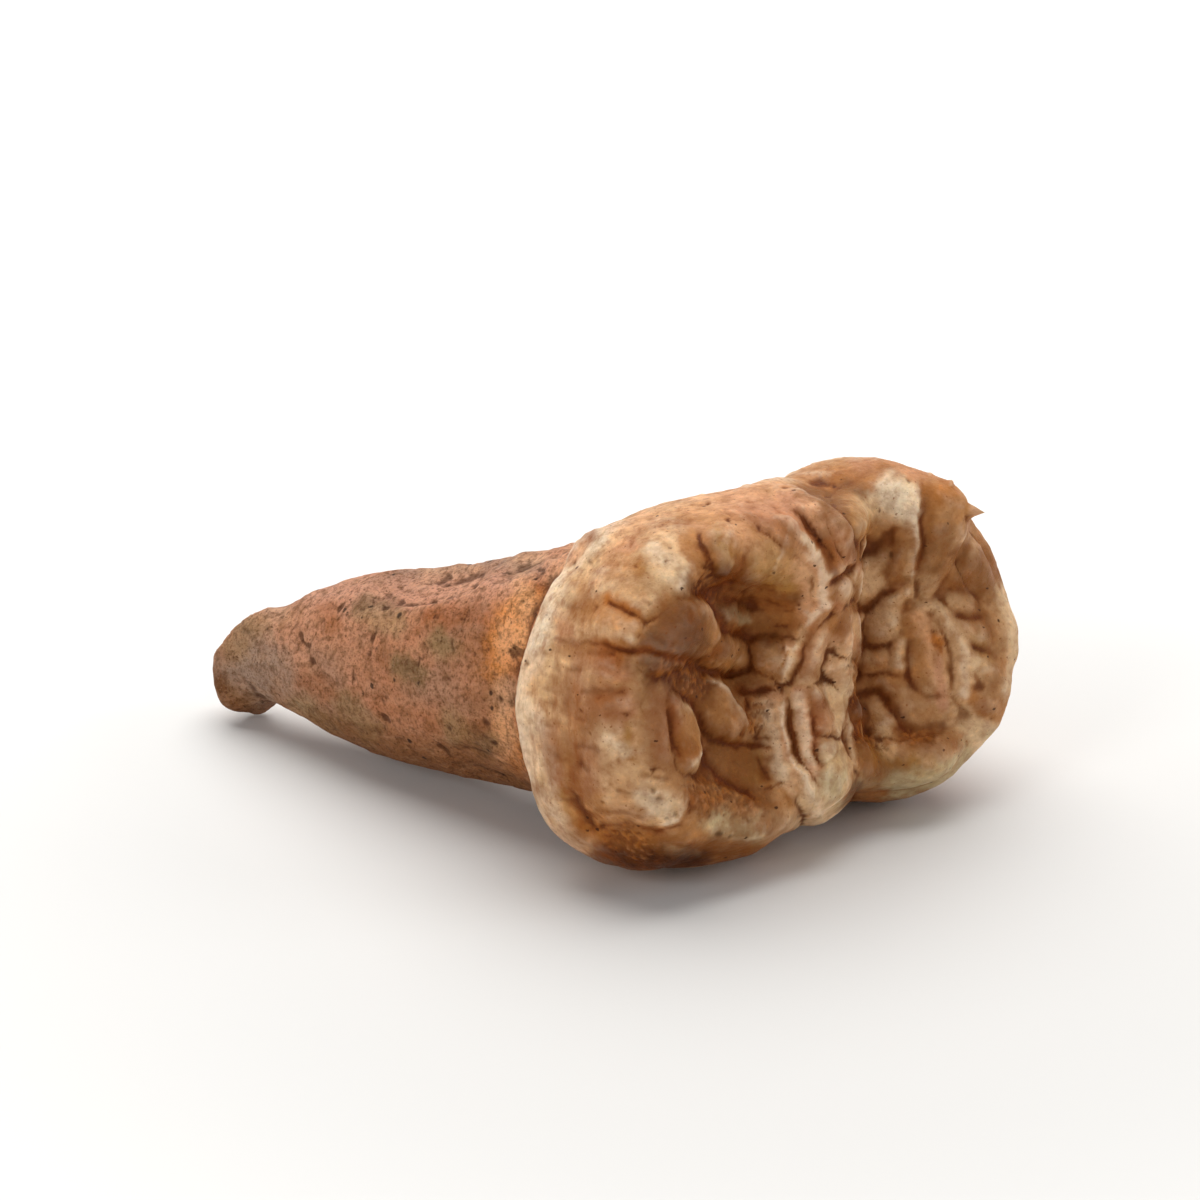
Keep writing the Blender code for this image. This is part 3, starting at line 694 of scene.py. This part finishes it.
# painted shade under the front lobe, where it meets the floor
wash("umber", 0.4, 11, [(610, 842), (640, 852)])
wash("dark", 0.6, 8, [(656, 858), (690, 854)])
wash("ivory", 0.5, 10, [(760, 708), (772, 745), (782, 780)], [(566, 598), (560, 612)], [(600, 546), (588, 558)])
wash("ivory", 0.6, 12, [(796, 824), (812, 812)], [(966, 716), (978, 742)])
wash("pale", 0.45, 11, [(830, 700), (834, 765)], [(872, 612), (880, 630)], [(892, 632), (900, 660)], [(628, 768), (642, 792)])
wash("tan", 0.4, 16, [(752, 600), (786, 610)], [(884, 528), (896, 534)])
wash("white", 0.5, 12, [(888, 490), (904, 504)])
wash("peach", 0.45, 10, [(806, 572), (814, 592)])

wash("brown", 0.28, 15, [(565, 682), (572, 720), (562, 760)], [(592, 728), (610, 700)])
wash("tan", 0.3, 12, [(590, 618), (632, 628)])
wash("umber", 0.22, 12, [(668, 618), (688, 626)])
wash("brown", 0.45, 8, [(704, 654), (716, 644)], [(738, 728), (744, 738)], [(700, 800), (702, 810)], [(764, 796), (768, 808)], [(908, 738), (924, 740)])
wash("brown", 0.5, 5.5, [(686, 700), (690, 712)], [(722, 682), (734, 694), (742, 712)], [(781, 646), (784, 654)], [(770, 760), (776, 770)], [(917, 484), (918, 498)])
wash("brown", 0.35, 13, [(716, 752), (745, 760)], [(735, 776), (755, 786)])
wash("greybrown", 0.45, 9, [(816, 498), (824, 502)], [(822, 522), (824, 532)], [(846, 493), (856, 496)])
wash("brown", 0.45, 8, [(856, 542), (858, 554)], [(884, 472), (892, 475)], [(980, 700), (985, 710)], [(862, 774), (876, 775)], [(972, 625), (990, 632)])
wash("brown", 0.3, 9, [(928, 522), (932, 532)], [(964, 544), (970, 552)], [(960, 576), (966, 588)], [(908, 702), (912, 710)], [(622, 834), (656, 838)])
# painted shade beside the front lobe's overhanging edge
wash("umber", 0.35, 7, [(858, 730), (860, 744)])
wash("rust", 0.35, 5.5, [(931, 636), (938, 650)], [(823, 744), (827, 752)], [(797, 712), (798, 726)])
wash("tan", 0.55, 8, [(745, 642), (752, 662)], [(868, 668), (874, 684)], [(888, 692), (894, 700)], [(574, 798), (586, 816)], [(822, 616), (825, 622)])
wash("tan", 0.45, 11, [(886, 530), (896, 536)], [(692, 548), (706, 560)])
wash("pale", 0.5, 7, [(810, 576), (814, 590)], [(837, 584), (839, 596)], [(847, 620), (848, 632)], [(832, 650), (834, 682)], [(828, 700), (834, 716)],
     [(845, 732), (847, 755)], [(932, 606), (942, 630), (952, 665), (950, 690)], [(924, 690), (928, 697)], [(547, 678), (549, 688)], [(520, 750), (526, 772)])
wash("ivory", 0.55, 8, [(773, 708), (778, 726)], [(784, 772), (792, 790)], [(802, 828), (812, 818)], [(972, 736), (982, 746)], [(544, 602), (532, 630)])
wash("white", 0.5, 9, [(894, 494), (906, 512)], [(574, 556), (600, 538)])

# painted highlights: white on cusplet tops and folds
wash("white", 0.45, 8, [(652, 552), (668, 564)], [(612, 738), (626, 752)])
wash("white", 0.35, 10, [(642, 796), (664, 812)], [(876, 494), (900, 504)])
wash("white", 0.4, 6, [(766, 706), (774, 740), (782, 776)])
wash("pale", 0.3, 12, [(755, 556), (795, 566)], [(872, 612), (892, 626)])
wash("ivory", 0.4, 10, [(562, 553), (588, 551)])
wash("ochre", 0.3, 14, [(765, 590), (795, 620)])
wash("brown", 0.25, 11, [(806, 475), (866, 474)], [(954, 600), (964, 608)], [(962, 628), (978, 634)])
wash("umber", 0.25, 12, [(668, 615), (690, 640)])
# painted shade beside the front lobe's overhanging edge
wash("umber", 0.5, 6, [(862, 712), (864, 738)])
# painted shade under the front lobe, where it meets the floor
wash("dark", 0.4, 10, [(625, 853), (688, 856)])

# The root: redder wood-like bone, a bright band under the enamel, grey and green crust
def blend_root(name, k):
    blend(name, k * root)


blend_root("clay", np.ones(len(base)))
blend_root("rose", 0.35 + 0.3 * step(fleck, 0.0, 0.5))
blend_root("rust", step(cloud, 0.0, 0.6) * 0.30)
blend_root("slate", step(patch, 0.0, 0.5) * 0.55)
blend_root("moss", step(-patch, 0.15, 0.6) * 0.5)
blend_root("greybrown", step(mottle, 0.05, 0.7) * 0.4)
blend_root("rust", step(uvw[:, 2] + 1.8 * cloud + 0.6 * mottle, -5.0, 0.2) * 0.55)
shade = step(-(base_n @ np.array([0, 0, 1])), -0.1, 0.7)
blend_root("greybrown", shade * 0.5)
wash("flame", 1.0, 19, [(527, 592), (514, 612), (506, 638)])
wash("peach", 0.7, 13, [(548, 566), (528, 572), (512, 585)])
wash("flame", 0.95, 14, [(512, 625), (506, 650), (500, 668)])
wash("tan", 0.5, 12, [(500, 672), (500, 730)])
wash("ochre", 0.5, 16, [(496, 640), (490, 670)], [(512, 740), (518, 760)])
wash("tan", 0.6, 12, [(503, 690), (504, 720), (510, 750)])
wash("slate", 0.6, 14, [(508, 690), (500, 700)])
wash("rust", 0.8, 9, [(590, 533), (566, 548), (548, 566), (538, 585)])
wash("peach", 0.8, 12, [(575, 552), (552, 572)])
wash("rose", 0.6, 14, [(560, 552), (535, 572)])
wash("peach", 0.5, 12, [(520, 606), (510, 640)], [(504, 690), (508, 750)])
wash("pale", 0.4, 14, [(524, 600), (510, 640)])
wash("slate", 0.8, 13, [(400, 578), (470, 568), (530, 560)])
wash("rose", 0.8, 20, [(320, 605), (380, 595), (450, 592), (500, 585)])
wash("rust", 0.5, 14, [(430, 620), (470, 615)], [(325, 612), (330, 622)], [(310, 680), (325, 692)])
wash("moss", 0.9, 15, [(368, 612), (390, 622)], [(400, 665), (414, 675)], [(436, 642), (445, 650)])
wash("moss", 0.7, 13, [(345, 700), (370, 735)], [(300, 706), (330, 726)], [(470, 735), (486, 745)], [(455, 735), (450, 720)])
wash("slate", 0.9, 26, [(222, 680), (250, 650), (262, 680)])
wash("greybrown", 0.8, 16, [(222, 690), (240, 705)], [(228, 650), (250, 625)])
wash("umber", 0.5, 9, [(214, 670), (222, 698), (250, 714)])
# painted shade along the root's lower side
wash("greybrown", 0.6, 16, [(320, 722), (400, 752), (480, 770), (530, 792)])
wash("brown", 0.4, 14, [(470, 640), (480, 700), (470, 740)])
wash("dark", 0.35, 9, [(362, 606), (392, 606), (380, 625)], [(405, 665), (412, 678)], [(478, 730), (486, 748)])
wash("pale", 0.22, 15, [(236, 648), (258, 624), (280, 612)])
wash("peach", 0.4, 8, [(512, 640), (510, 655)], [(522, 560), (540, 556)])
wash("flame", 0.5, 10, [(516, 606), (510, 645)])
wash("peach", 0.35, 12, [(372, 614), (390, 622)], [(430, 574), (470, 566)], [(515, 558), (545, 550)], [(505, 630), (505, 660)])
wash("clay", 0.4, 14, [(455, 665), (468, 690)], [(390, 690), (396, 704)], [(335, 640), (345, 660)])

pit_marks = [(493, 617), (398, 741), (494, 744), (435, 620), (452, 597), (452, 570), (245, 632), (250, 634), (500, 700), (420, 690),
             (362, 608), (372, 616), (382, 607), (390, 614), (376, 627), (408, 665), (412, 673), (405, 680), (441, 644), (449, 652),
             (480, 728), (486, 738), (478, 742), (470, 730), (320, 622), (360, 650), (300, 650), (465, 660), (385, 700), (515, 655)]
for i, (x, y) in enumerate(specks + pit_marks):
    r = 1.7 + 0.9 * math.sin(i * 2.1) ** 2
    wash("black", 0.55, r * 0.8, [(x, y), (x + 2 * math.sin(i), y + 1.5 * math.cos(i))])
    swell([(x, y)], r + 1.5, -0.06)

# --- Height -------------------------------------------------------------------------------------
# sides the strokes don't reach: the same kind of cusplets and creases, from noise
wild = step(uvw[:, 2], 5.8, 6.8) * step(base_n @ AXES[:, 2], 0.45, 0.8) * (1 - step(seen, 0.15, 0.7))
ids = np.nonzero(wild > 0.01)[0]
rough_face = np.zeros(len(base))
rough_face[ids] = 0.32 - np.abs(field(uvw[ids], 2.4, 2, 23.0)) * 0.9
behind = step(spot[:, 0], 856, 872)
domes = net.smooth(domes, 1, 0.4) * (1 - behind) + net.smooth(domes, 4, 0.6) * behind
height = domes * (1.45 - 0.2 * behind) + net.smooth(lift, 1, 0.3) * (1.35 - 0.25 * behind) + net.smooth(np.clip(rough_face, -0.1, 0.32) * wild, 6, 0.6)
co = base + LIFT * height[:, None]

ids = np.nonzero(root > 0.01)[0]
bumps = np.zeros(len(base))
bumps[ids] = (field(uvw[ids], 3.2, 4, 3.0, (1, 1, 0.6)) * 0.12 + field(uvw[ids], 1.0, 3, 9.0, (1, 1, 0.7)) * 0.07
              - step(field(uvw[ids], 1.2, 2, 61.0), 0.36, 0.7) * 0.14)
ids = np.nonzero(root < 0.99)[0]
waves = np.zeros(len(base))
waves[ids] = field(uvw[ids], 2.6, 3, 5.0) * 0.07 + field(uvw[ids], 0.6, 2, 1.0) * 0.022
ids = np.nonzero(gritty > 0.01)[0]
grains = np.zeros(len(base))
grains[ids] = field(uvw[ids], 0.30, 3, 88.0) * gritty[ids]
co += base_n * (bumps * root + waves * (1 - root) + np.clip(grains, -0.2, 0.4) * 0.10)[:, None]
blend("ochre", step(grains, 0.08, 0.34) * 0.45)
blend("umber", step(-grains, 0.04, 0.30) * 0.4)
# the thorn-like chip on the back lobe's upper rim
rim = np.nonzero(shown > 0.5)[0]
root_of_chip = co[rim[np.argmin(np.hypot(px[rim, 0] - 969, px[rim, 1] - 511))]]
chip = np.clip(1 - np.linalg.norm(co - root_of_chip, axis=1) / 0.42, 0, 1)
co += np.outer(chip * 0.85, RIGHT * 0.97 - UP * 0.08 + BACK * 0.1)
# the enamel's edge stands a little proud of the root
co += base_n * (0.12 * (1 - root) * step(2.0 - uvw[:, 2], 0, 1.5) - 0.06 * root * step(uvw[:, 2], -1.8, 0.2))[:, None]

# where the skin has been pushed over itself it is relaxed until it faces outwards again
for _ in range(9):
    put_co(mesh, co)
    turned = (normals(mesh) * base_n).sum(1) < 0.28
    tangle = net.smooth(turned.astype(float), 6, 0.8)
    co = net.smooth(co, 5, 0.8, np.clip(tangle * 9, 0, 1))
# cracks narrower than any in the tooth are opened out
for _ in range(4):
    put_co(mesh, co)
    pinch = np.abs(((net.smooth(co, 2, 0.7) - co) * normals(mesh)).sum(1))
    co = net.smooth(co, 3, 0.7, np.clip(net.smooth(step(pinch, 0.045, 0.09), 2, 0.8) * 2.5, 0, 1) * (chip < 0.01))
half = np.array([[min(c[k] for c in cad_box), max(c[k] for c in cad_box)] for k in range(3)]) / MM
for k in range(3):
    spare = 0.010 * (half[k, 1] - half[k, 0])
    co[:, k] = np.clip(co[:, k], half[k, 0] - (spare if k < 2 else 0), half[k, 1] + spare)
put_co(mesh, co)

# --- Attributes for the material ----------------------------------------------------------------
n = normals(mesh)
hollows = [((net.smooth(co, times, 0.7) - co) * n).sum(1) for times in (2, 12, 60)]
cavity = np.clip(hollows[0] * 9 + hollows[1] * 6 + hollows[2] * 1.6, -1, 1)
# darker in the hollows: partly brown stain, partly painted shade
hollow_stain_and_shade = step(cavity, 0.05, 0.8) * (1 - root)
blend("rust", hollow_stain_and_shade * 0.5)
blend("umber", step(cavity, 0.25, 0.95) * (1 - root) * (0.8 - 0.4 * behind))
blend("rust", stain * (1 - root) * (0.55 - 0.2 * behind))
# painted shade: the whole chewing face is darkened
chewing_face_shade = step(base_n @ AXES[:, 2], 0.35, 0.85) * step(uvw[:, 2], 3.5, 5.5)
tone *= 1 - np.outer(chewing_face_shade * (1 - root), (0.15, 0.16, 0.18))
tone *= 1 - np.outer(hollow_stain_and_shade, (0.34, 0.46, 0.60))
tone *= 1 - np.outer(1 - root, (0.0, 0.01, 0.06))
tone *= 1 + np.outer(root, (0.17, 0.13, 0.06)) + np.outer(root * (1 - step(spot[:, 0], 240, 400)), (0.05, 0.20, 0.34))
# painted light: root surfaces facing upwards are made paler and cooler
tone *= 1 + np.outer(root * step(base_n[:, 2], 0.5, 0.95), (0.0, 0.08, 0.22))
tone *= 1 - np.outer(step(field(uvw, 0.5, 3, 29.0), 0.0, 0.5) * (1 - root), (0.10, 0.13, 0.17))
# painted highlight: white on convex crests, strongest where the tone is already light
light = step(tone @ np.array((0.3, 0.6, 0.1)), 0.14, 0.42)
blend("white", step(-cavity, 0.2, 1.0) * (0.08 + 0.37 * light) * (1 - root))
wall = step(6.6 - uvw[:, 2], 0, 2.2)
for name, values in {"root": root, "cavity": cavity, "wall": wall}.items():
    layer = mesh.attributes.new(name, "FLOAT", "POINT")
    layer.data.foreach_set("value", values.astype(np.float32))
for name, values in {"tooth": uvw, "tone": tone}.items():
    layer = mesh.attributes.new(name, "FLOAT_VECTOR", "POINT")
    layer.data.foreach_set("vector", values.astype(np.float32).ravel())

mesh.transform(Matrix.Scale(MM, 4))
mesh.shade_smooth()


# --- Material -----------------------------------------------------------------------------------
def tooth_material():
    mat = bpy.data.materials.new("fossil_tooth")
    mat.use_nodes = True
    nt = mat.node_tree
    nodes, links = nt.nodes, nt.links
    shader = nodes["Principled BSDF"]

    def put(sock, val):
        if isinstance(val, bpy.types.NodeSocket):
            links.new(val, sock)
        else:
            sock.default_value = val

    def attribute(name, vector=False):
        nd = nodes.new("ShaderNodeAttribute")
        nd.attribute_name = name
        return nd.outputs["Vector" if vector else "Fac"]

    def mix(fac, a, b, mode="MIX"):
        nd = nodes.new("ShaderNodeMix")
        nd.data_type, nd.blend_type = "RGBA", mode
        put(nd.inputs["Factor"], fac), put(nd.inputs[6], a), put(nd.inputs[7], b)
        return nd.outputs[2]

    def math_(op, a, b=0.0):
        nd = nodes.new("ShaderNodeMath")
        nd.operation = op
        put(nd.inputs[0], a), put(nd.inputs[1], b)
        return nd.outputs[0]

    def ramp(fac, lo, hi, a=0.0, b=1.0):
        nd = nodes.new("ShaderNodeMapRange")
        nd.interpolation_type = "SMOOTHSTEP"
        links.new(fac, nd.inputs["Value"])
        for key, val in (("From Min", lo), ("From Max", hi), ("To Min", a), ("To Max", b)):
            nd.inputs[key].default_value = val
        return nd.outputs["Result"]

    coords = attribute("tooth", True)

    def tex(scale, detail=4.0, rough=0.6, stretch=(1, 1, 1), shift=0.0):
        mp = nodes.new("ShaderNodeMapping")
        links.new(coords, mp.inputs["Vector"])
        mp.inputs["Scale"].default_value = stretch
        mp.inputs["Location"].default_value = (shift, shift * 0.7, -shift)
        nd = nodes.new("ShaderNodeTexNoise")
        nd.inputs["Scale"].default_value = scale
        nd.inputs["Detail"].default_value = detail
        nd.inputs["Roughness"].default_value = rough
        links.new(mp.outputs["Vector"], nd.inputs["Vector"])
        return nd.outputs["Fac"]

    def dots(scale, size, share, shift, stretch=(1, 1, 1)):
        """Scattered small marks: so many per millimetre, their size, the share of places without one."""
        mp = nodes.new("ShaderNodeMapping")
        mp.inputs["Scale"].default_value, mp.inputs["Location"].default_value = stretch, (shift, -shift, shift * 0.3)
        wobble = nodes.new("ShaderNodeTexNoise")
        wobble.inputs["Scale"].default_value, wobble.inputs["Detail"].default_value = 5.0, 2.0
        links.new(coords, wobble.inputs["Vector"])
        add = nodes.new("ShaderNodeVectorMath")
        add.operation = "MULTIPLY_ADD"
        links.new(wobble.outputs["Color"], add.inputs[0])
        add.inputs[1].default_value = (0.22, 0.22, 0.22)
        links.new(coords, add.inputs[2])
        links.new(add.outputs["Vector"], mp.inputs["Vector"])
        nd = nodes.new("ShaderNodeTexVoronoi")
        nd.inputs["Scale"].default_value = scale
        links.new(mp.outputs["Vector"], nd.inputs["Vector"])
        pick = nodes.new("ShaderNodeSeparateColor")
        links.new(nd.outputs["Color"], pick.inputs["Color"])
        return math_("MULTIPLY", ramp(nd.outputs["Distance"], size * 0.6, size, 1.0, 0.0), ramp(pick.outputs["Red"], share, share + 0.05))

    def rgb(name, k=1.0):
        return (*(PALETTE[name] * k), 1)

    is_root = attribute("root")
    tone_in = attribute("tone", True)
    mott, fine, grit = tex(0.9, 5, 0.62, shift=4), tex(2.6, 5, 0.62, shift=9), tex(8.0, 3, 0.6, shift=14)
    streak = tex(1.7, 6, 0.7, (1, 1, 0.22), 3)
    wallstreak = tex(2.2, 5, 0.65, (1, 0.22, 1), 27)
    # darker and lighter clouds at several sizes, then fine brown dirt
    col = mix(ramp(mott, 0.32, 0.50, 0.8, 0.0), tone_in, (1.22, 1.18, 1.12, 1), "MULTIPLY")
    col = mix(ramp(mott, 0.48, 0.72, 0.0, 0.38), col, rgb("brown"))
    col = mix(ramp(fine, 0.46, 0.70, 0.0, 0.32), col, rgb("rust", 0.85))
    col = mix(ramp(fine, 0.28, 0.46, 0.9, 0.0), col, (1.20, 1.17, 1.10, 1), "MULTIPLY")
    col = mix(math_("MULTIPLY", ramp(wallstreak, 0.46, 0.68, 0.0, 0.45), attribute("wall")), col, rgb("rust", 0.95))
    col = mix(ramp(grit, 0.62, 0.74, 0.0, 0.5), col, rgb("umber", 0.8))
    col = mix(math_("MULTIPLY", dots(1.1, 0.13, 0.55, 3.0, (1, 1.5, 1)), 0.85), col, rgb("dark", 0.8))
    col = mix(math_("MULTIPLY", dots(2.6, 0.17, 0.62, 8.0), 0.6), col, rgb("rust", 0.7))
    rootc = mix(ramp(streak, 0.36, 0.52, 0.18, 0.0), tone_in, rgb("peach", 0.9))
    rootc = mix(ramp(streak, 0.48, 0.70, 0.0, 0.30), rootc, rgb("brown", 0.75))
    rootc = mix(ramp(fine, 0.46, 0.66, 0.0, 0.55), rootc, rgb("greybrown", 0.6))
    rootc = mix(ramp(tex(5.0, 5, 0.7, shift=41), 0.50, 0.62, 0.0, 0.45), rootc, rgb("umber", 0.75))
    rootc = mix(ramp(grit, 0.57, 0.68, 0.0, 0.5), rootc, rgb("dark", 0.8))
    rootc = mix(math_("MULTIPLY", dots(0.9, 0.17, 0.5, 5.0), 0.85), rootc, rgb("black", 0.9))
    rootc = mix(math_("MULTIPLY", dots(2.2, 0.20, 0.5, 12.0), 0.6), rootc, rgb("dark"))
    rootc = mix(ramp(grit, 0.30, 0.42, 0.30, 0.0), rootc, rgb("rose"))
    # darker in the root's hollows: dirt and painted shade
    rootc = mix(ramp(attribute("cavity"), 0.10, 0.8, 0.0, 0.7), rootc, rgb("dark"))
    links.new(mix(is_root, col, rootc), shader.inputs["Base Color"])
    put(shader.inputs["Roughness"], math_("ADD", ramp(mott, 0.3, 0.7, 0.40, 0.58), math_("MULTIPLY", is_root, 0.2)))
    shader.inputs["Subsurface Weight"].default_value = 0.14
    shader.inputs["Subsurface Radius"].default_value = (0.0010, 0.0005, 0.0002)
    shader.inputs["Subsurface Scale"].default_value = 1.0
    shader.inputs["Specular IOR Level"].default_value = 0.09
    bump = nodes.new("ShaderNodeBump")
    bump.inputs["Strength"].default_value = 0.7
    bump.inputs["Distance"].default_value = 0.00012
    rough_root = math_("ADD", math_("MULTIPLY", streak, 0.5), math_("MULTIPLY", tex(3.4, 5, 0.65, shift=33), 2.4))
    grain = math_("ADD", math_("MULTIPLY", tex(5.5, 5, 0.6, shift=2), 0.9), math_("MULTIPLY", rough_root, is_root))
    links.new(grain, bump.inputs["Height"])
    links.new(bump.outputs["Normal"], shader.inputs["Normal"])
    return mat


mesh.materials.clear()
mesh.materials.append(tooth_material())
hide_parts("tooth")
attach(skin, "root")


# --- Floor, light and camera --------------------------------------------------------------------
def plain(name, value, rough=0.6):
    mat = bpy.data.materials.new(name)
    mat.use_nodes = True
    mat.node_tree.nodes["Principled BSDF"].inputs["Base Color"].default_value = (*value, 1)
    mat.node_tree.nodes["Principled BSDF"].inputs["Roughness"].default_value = rough
    return mat


def shadowed_paper():
    """Pale paper with a painted shadow: a little warmer and darker where the tooth lies."""
    mat = plain("shadowed_paper", (0.9, 0.9, 0.9))
    nodes, links = mat.node_tree.nodes, mat.node_tree.links
    coords = nodes.new("ShaderNodeTexCoord")
    far = nodes.new("ShaderNodeVectorMath")
    far.operation = "DISTANCE"
    far.inputs[1].default_value = (-0.012, -0.030, 0)
    links.new(coords.outputs["Object"], far.inputs[0])
    share = nodes.new("ShaderNodeMapRange")
    share.interpolation_type = "SMOOTHSTEP"
    share.inputs["From Min"].default_value, share.inputs["From Max"].default_value = 0.010, 0.085
    links.new(far.outputs["Value"], share.inputs["Value"])
    tint = nodes.new("ShaderNodeMix")
    tint.data_type = "RGBA"
    tint.inputs[6].default_value = (0.70, 0.69, 0.675, 1)
    tint.inputs[7].default_value = (0.93, 0.93, 0.92, 1)
    links.new(share.outputs["Result"], tint.inputs["Factor"])
    links.new(tint.outputs[2], mat.node_tree.nodes["Principled BSDF"].inputs["Base Color"])
    return mat


# flat under and around the tooth, sweeping up far away so that no view meets an edge
bm = bmesh.new()
spokes, radii = 96, [0.25, 0.5] + [0.5 + 0.1 * k for k in range(1, 26)]
rings = [[bm.verts.new((r * math.cos(2 * math.pi * i / spokes), r * math.sin(2 * math.pi * i / spokes), 0.11 * max(0, r - 0.5) ** 2))
          for i in range(spokes)] for r in radii]
bm.faces.new(rings[0])
for inner, outer in zip(rings, rings[1:]):
    for i in range(spokes):
        bm.faces.new((inner[i], outer[i], outer[(i + 1) % spokes], inner[(i + 1) % spokes]))
floor_mesh = bpy.data.meshes.new("floor")
bm.to_mesh(floor_mesh)
bm.free()
floor_mesh.shade_smooth()
floor = link(bpy.data.objects.new("floor", floor_mesh))
floor.location = (0, 0, 0)
floor_mesh.materials.append(shadowed_paper())

world = bpy.data.worlds.new("studio")
bpy.context.scene.world = world
world.use_nodes = True
world.node_tree.nodes["Background"].inputs["Color"].default_value = (0.93, 0.96, 1.0, 1)
world.node_tree.nodes["Background"].inputs["Strength"].default_value = 0.23


def area(name, at, aim, size, watts, tint=(1, 1, 1)):
    data = bpy.data.lights.new(name, "AREA")
    data.shape, data.size, data.energy, data.color = "DISK", size, watts, tint
    obj = link(bpy.data.objects.new(name, data))
    obj.location = at
    obj.rotation_euler = (Vector(aim) - Vector(at)).to_track_quat("-Z", "Y").to_euler()
    return obj


SIDE, AWAY = Vector((RIGHT[0], RIGHT[1], 0)).normalized(), -Vector((BACK[0], BACK[1], 0)).normalized()
sun = bpy.data.lights.new("overhead", "SUN")
sun.energy, sun.angle, sun.color = 2.95, math.radians(70), (1.0, 0.985, 0.96)
key = link(bpy.data.objects.new("overhead", sun))
key.rotation_euler = (Vector((0, 0, 1)) - 0.04 * SIDE + 0.46 * AWAY).to_track_quat("Z", "Y").to_euler()
area("left_fill", (-0.42, -0.10, 0.22), (0, 0, 0.008), 0.20, 0.52)
area("right_fill", (0.34, -0.30, 0.20), (0.010, 0, 0.004), 0.30, 0.52)

cam_data = bpy.data.cameras.new("view")
cam_data.sensor_width = 36.0
cam_data.lens = FOCAL / 1200 * 36.0
cam_data.clip_start, cam_data.clip_end = 0.01, 20
cam = link(bpy.data.objects.new("view", cam_data))
aim = CENTRE + RIGHT * (600 - CENTRE_PX[0]) / PX_PER_MM + UP * (CENTRE_PX[1] - 600) / PX_PER_MM
look = Matrix((RIGHT, UP, BACK)).transposed().to_4x4()
look.translation = Vector((aim + BACK * DISTANCE) * MM)
cam.matrix_world = look
bpy.context.scene.camera = cam
bpy.context.scene.view_settings.view_transform = "Standard"
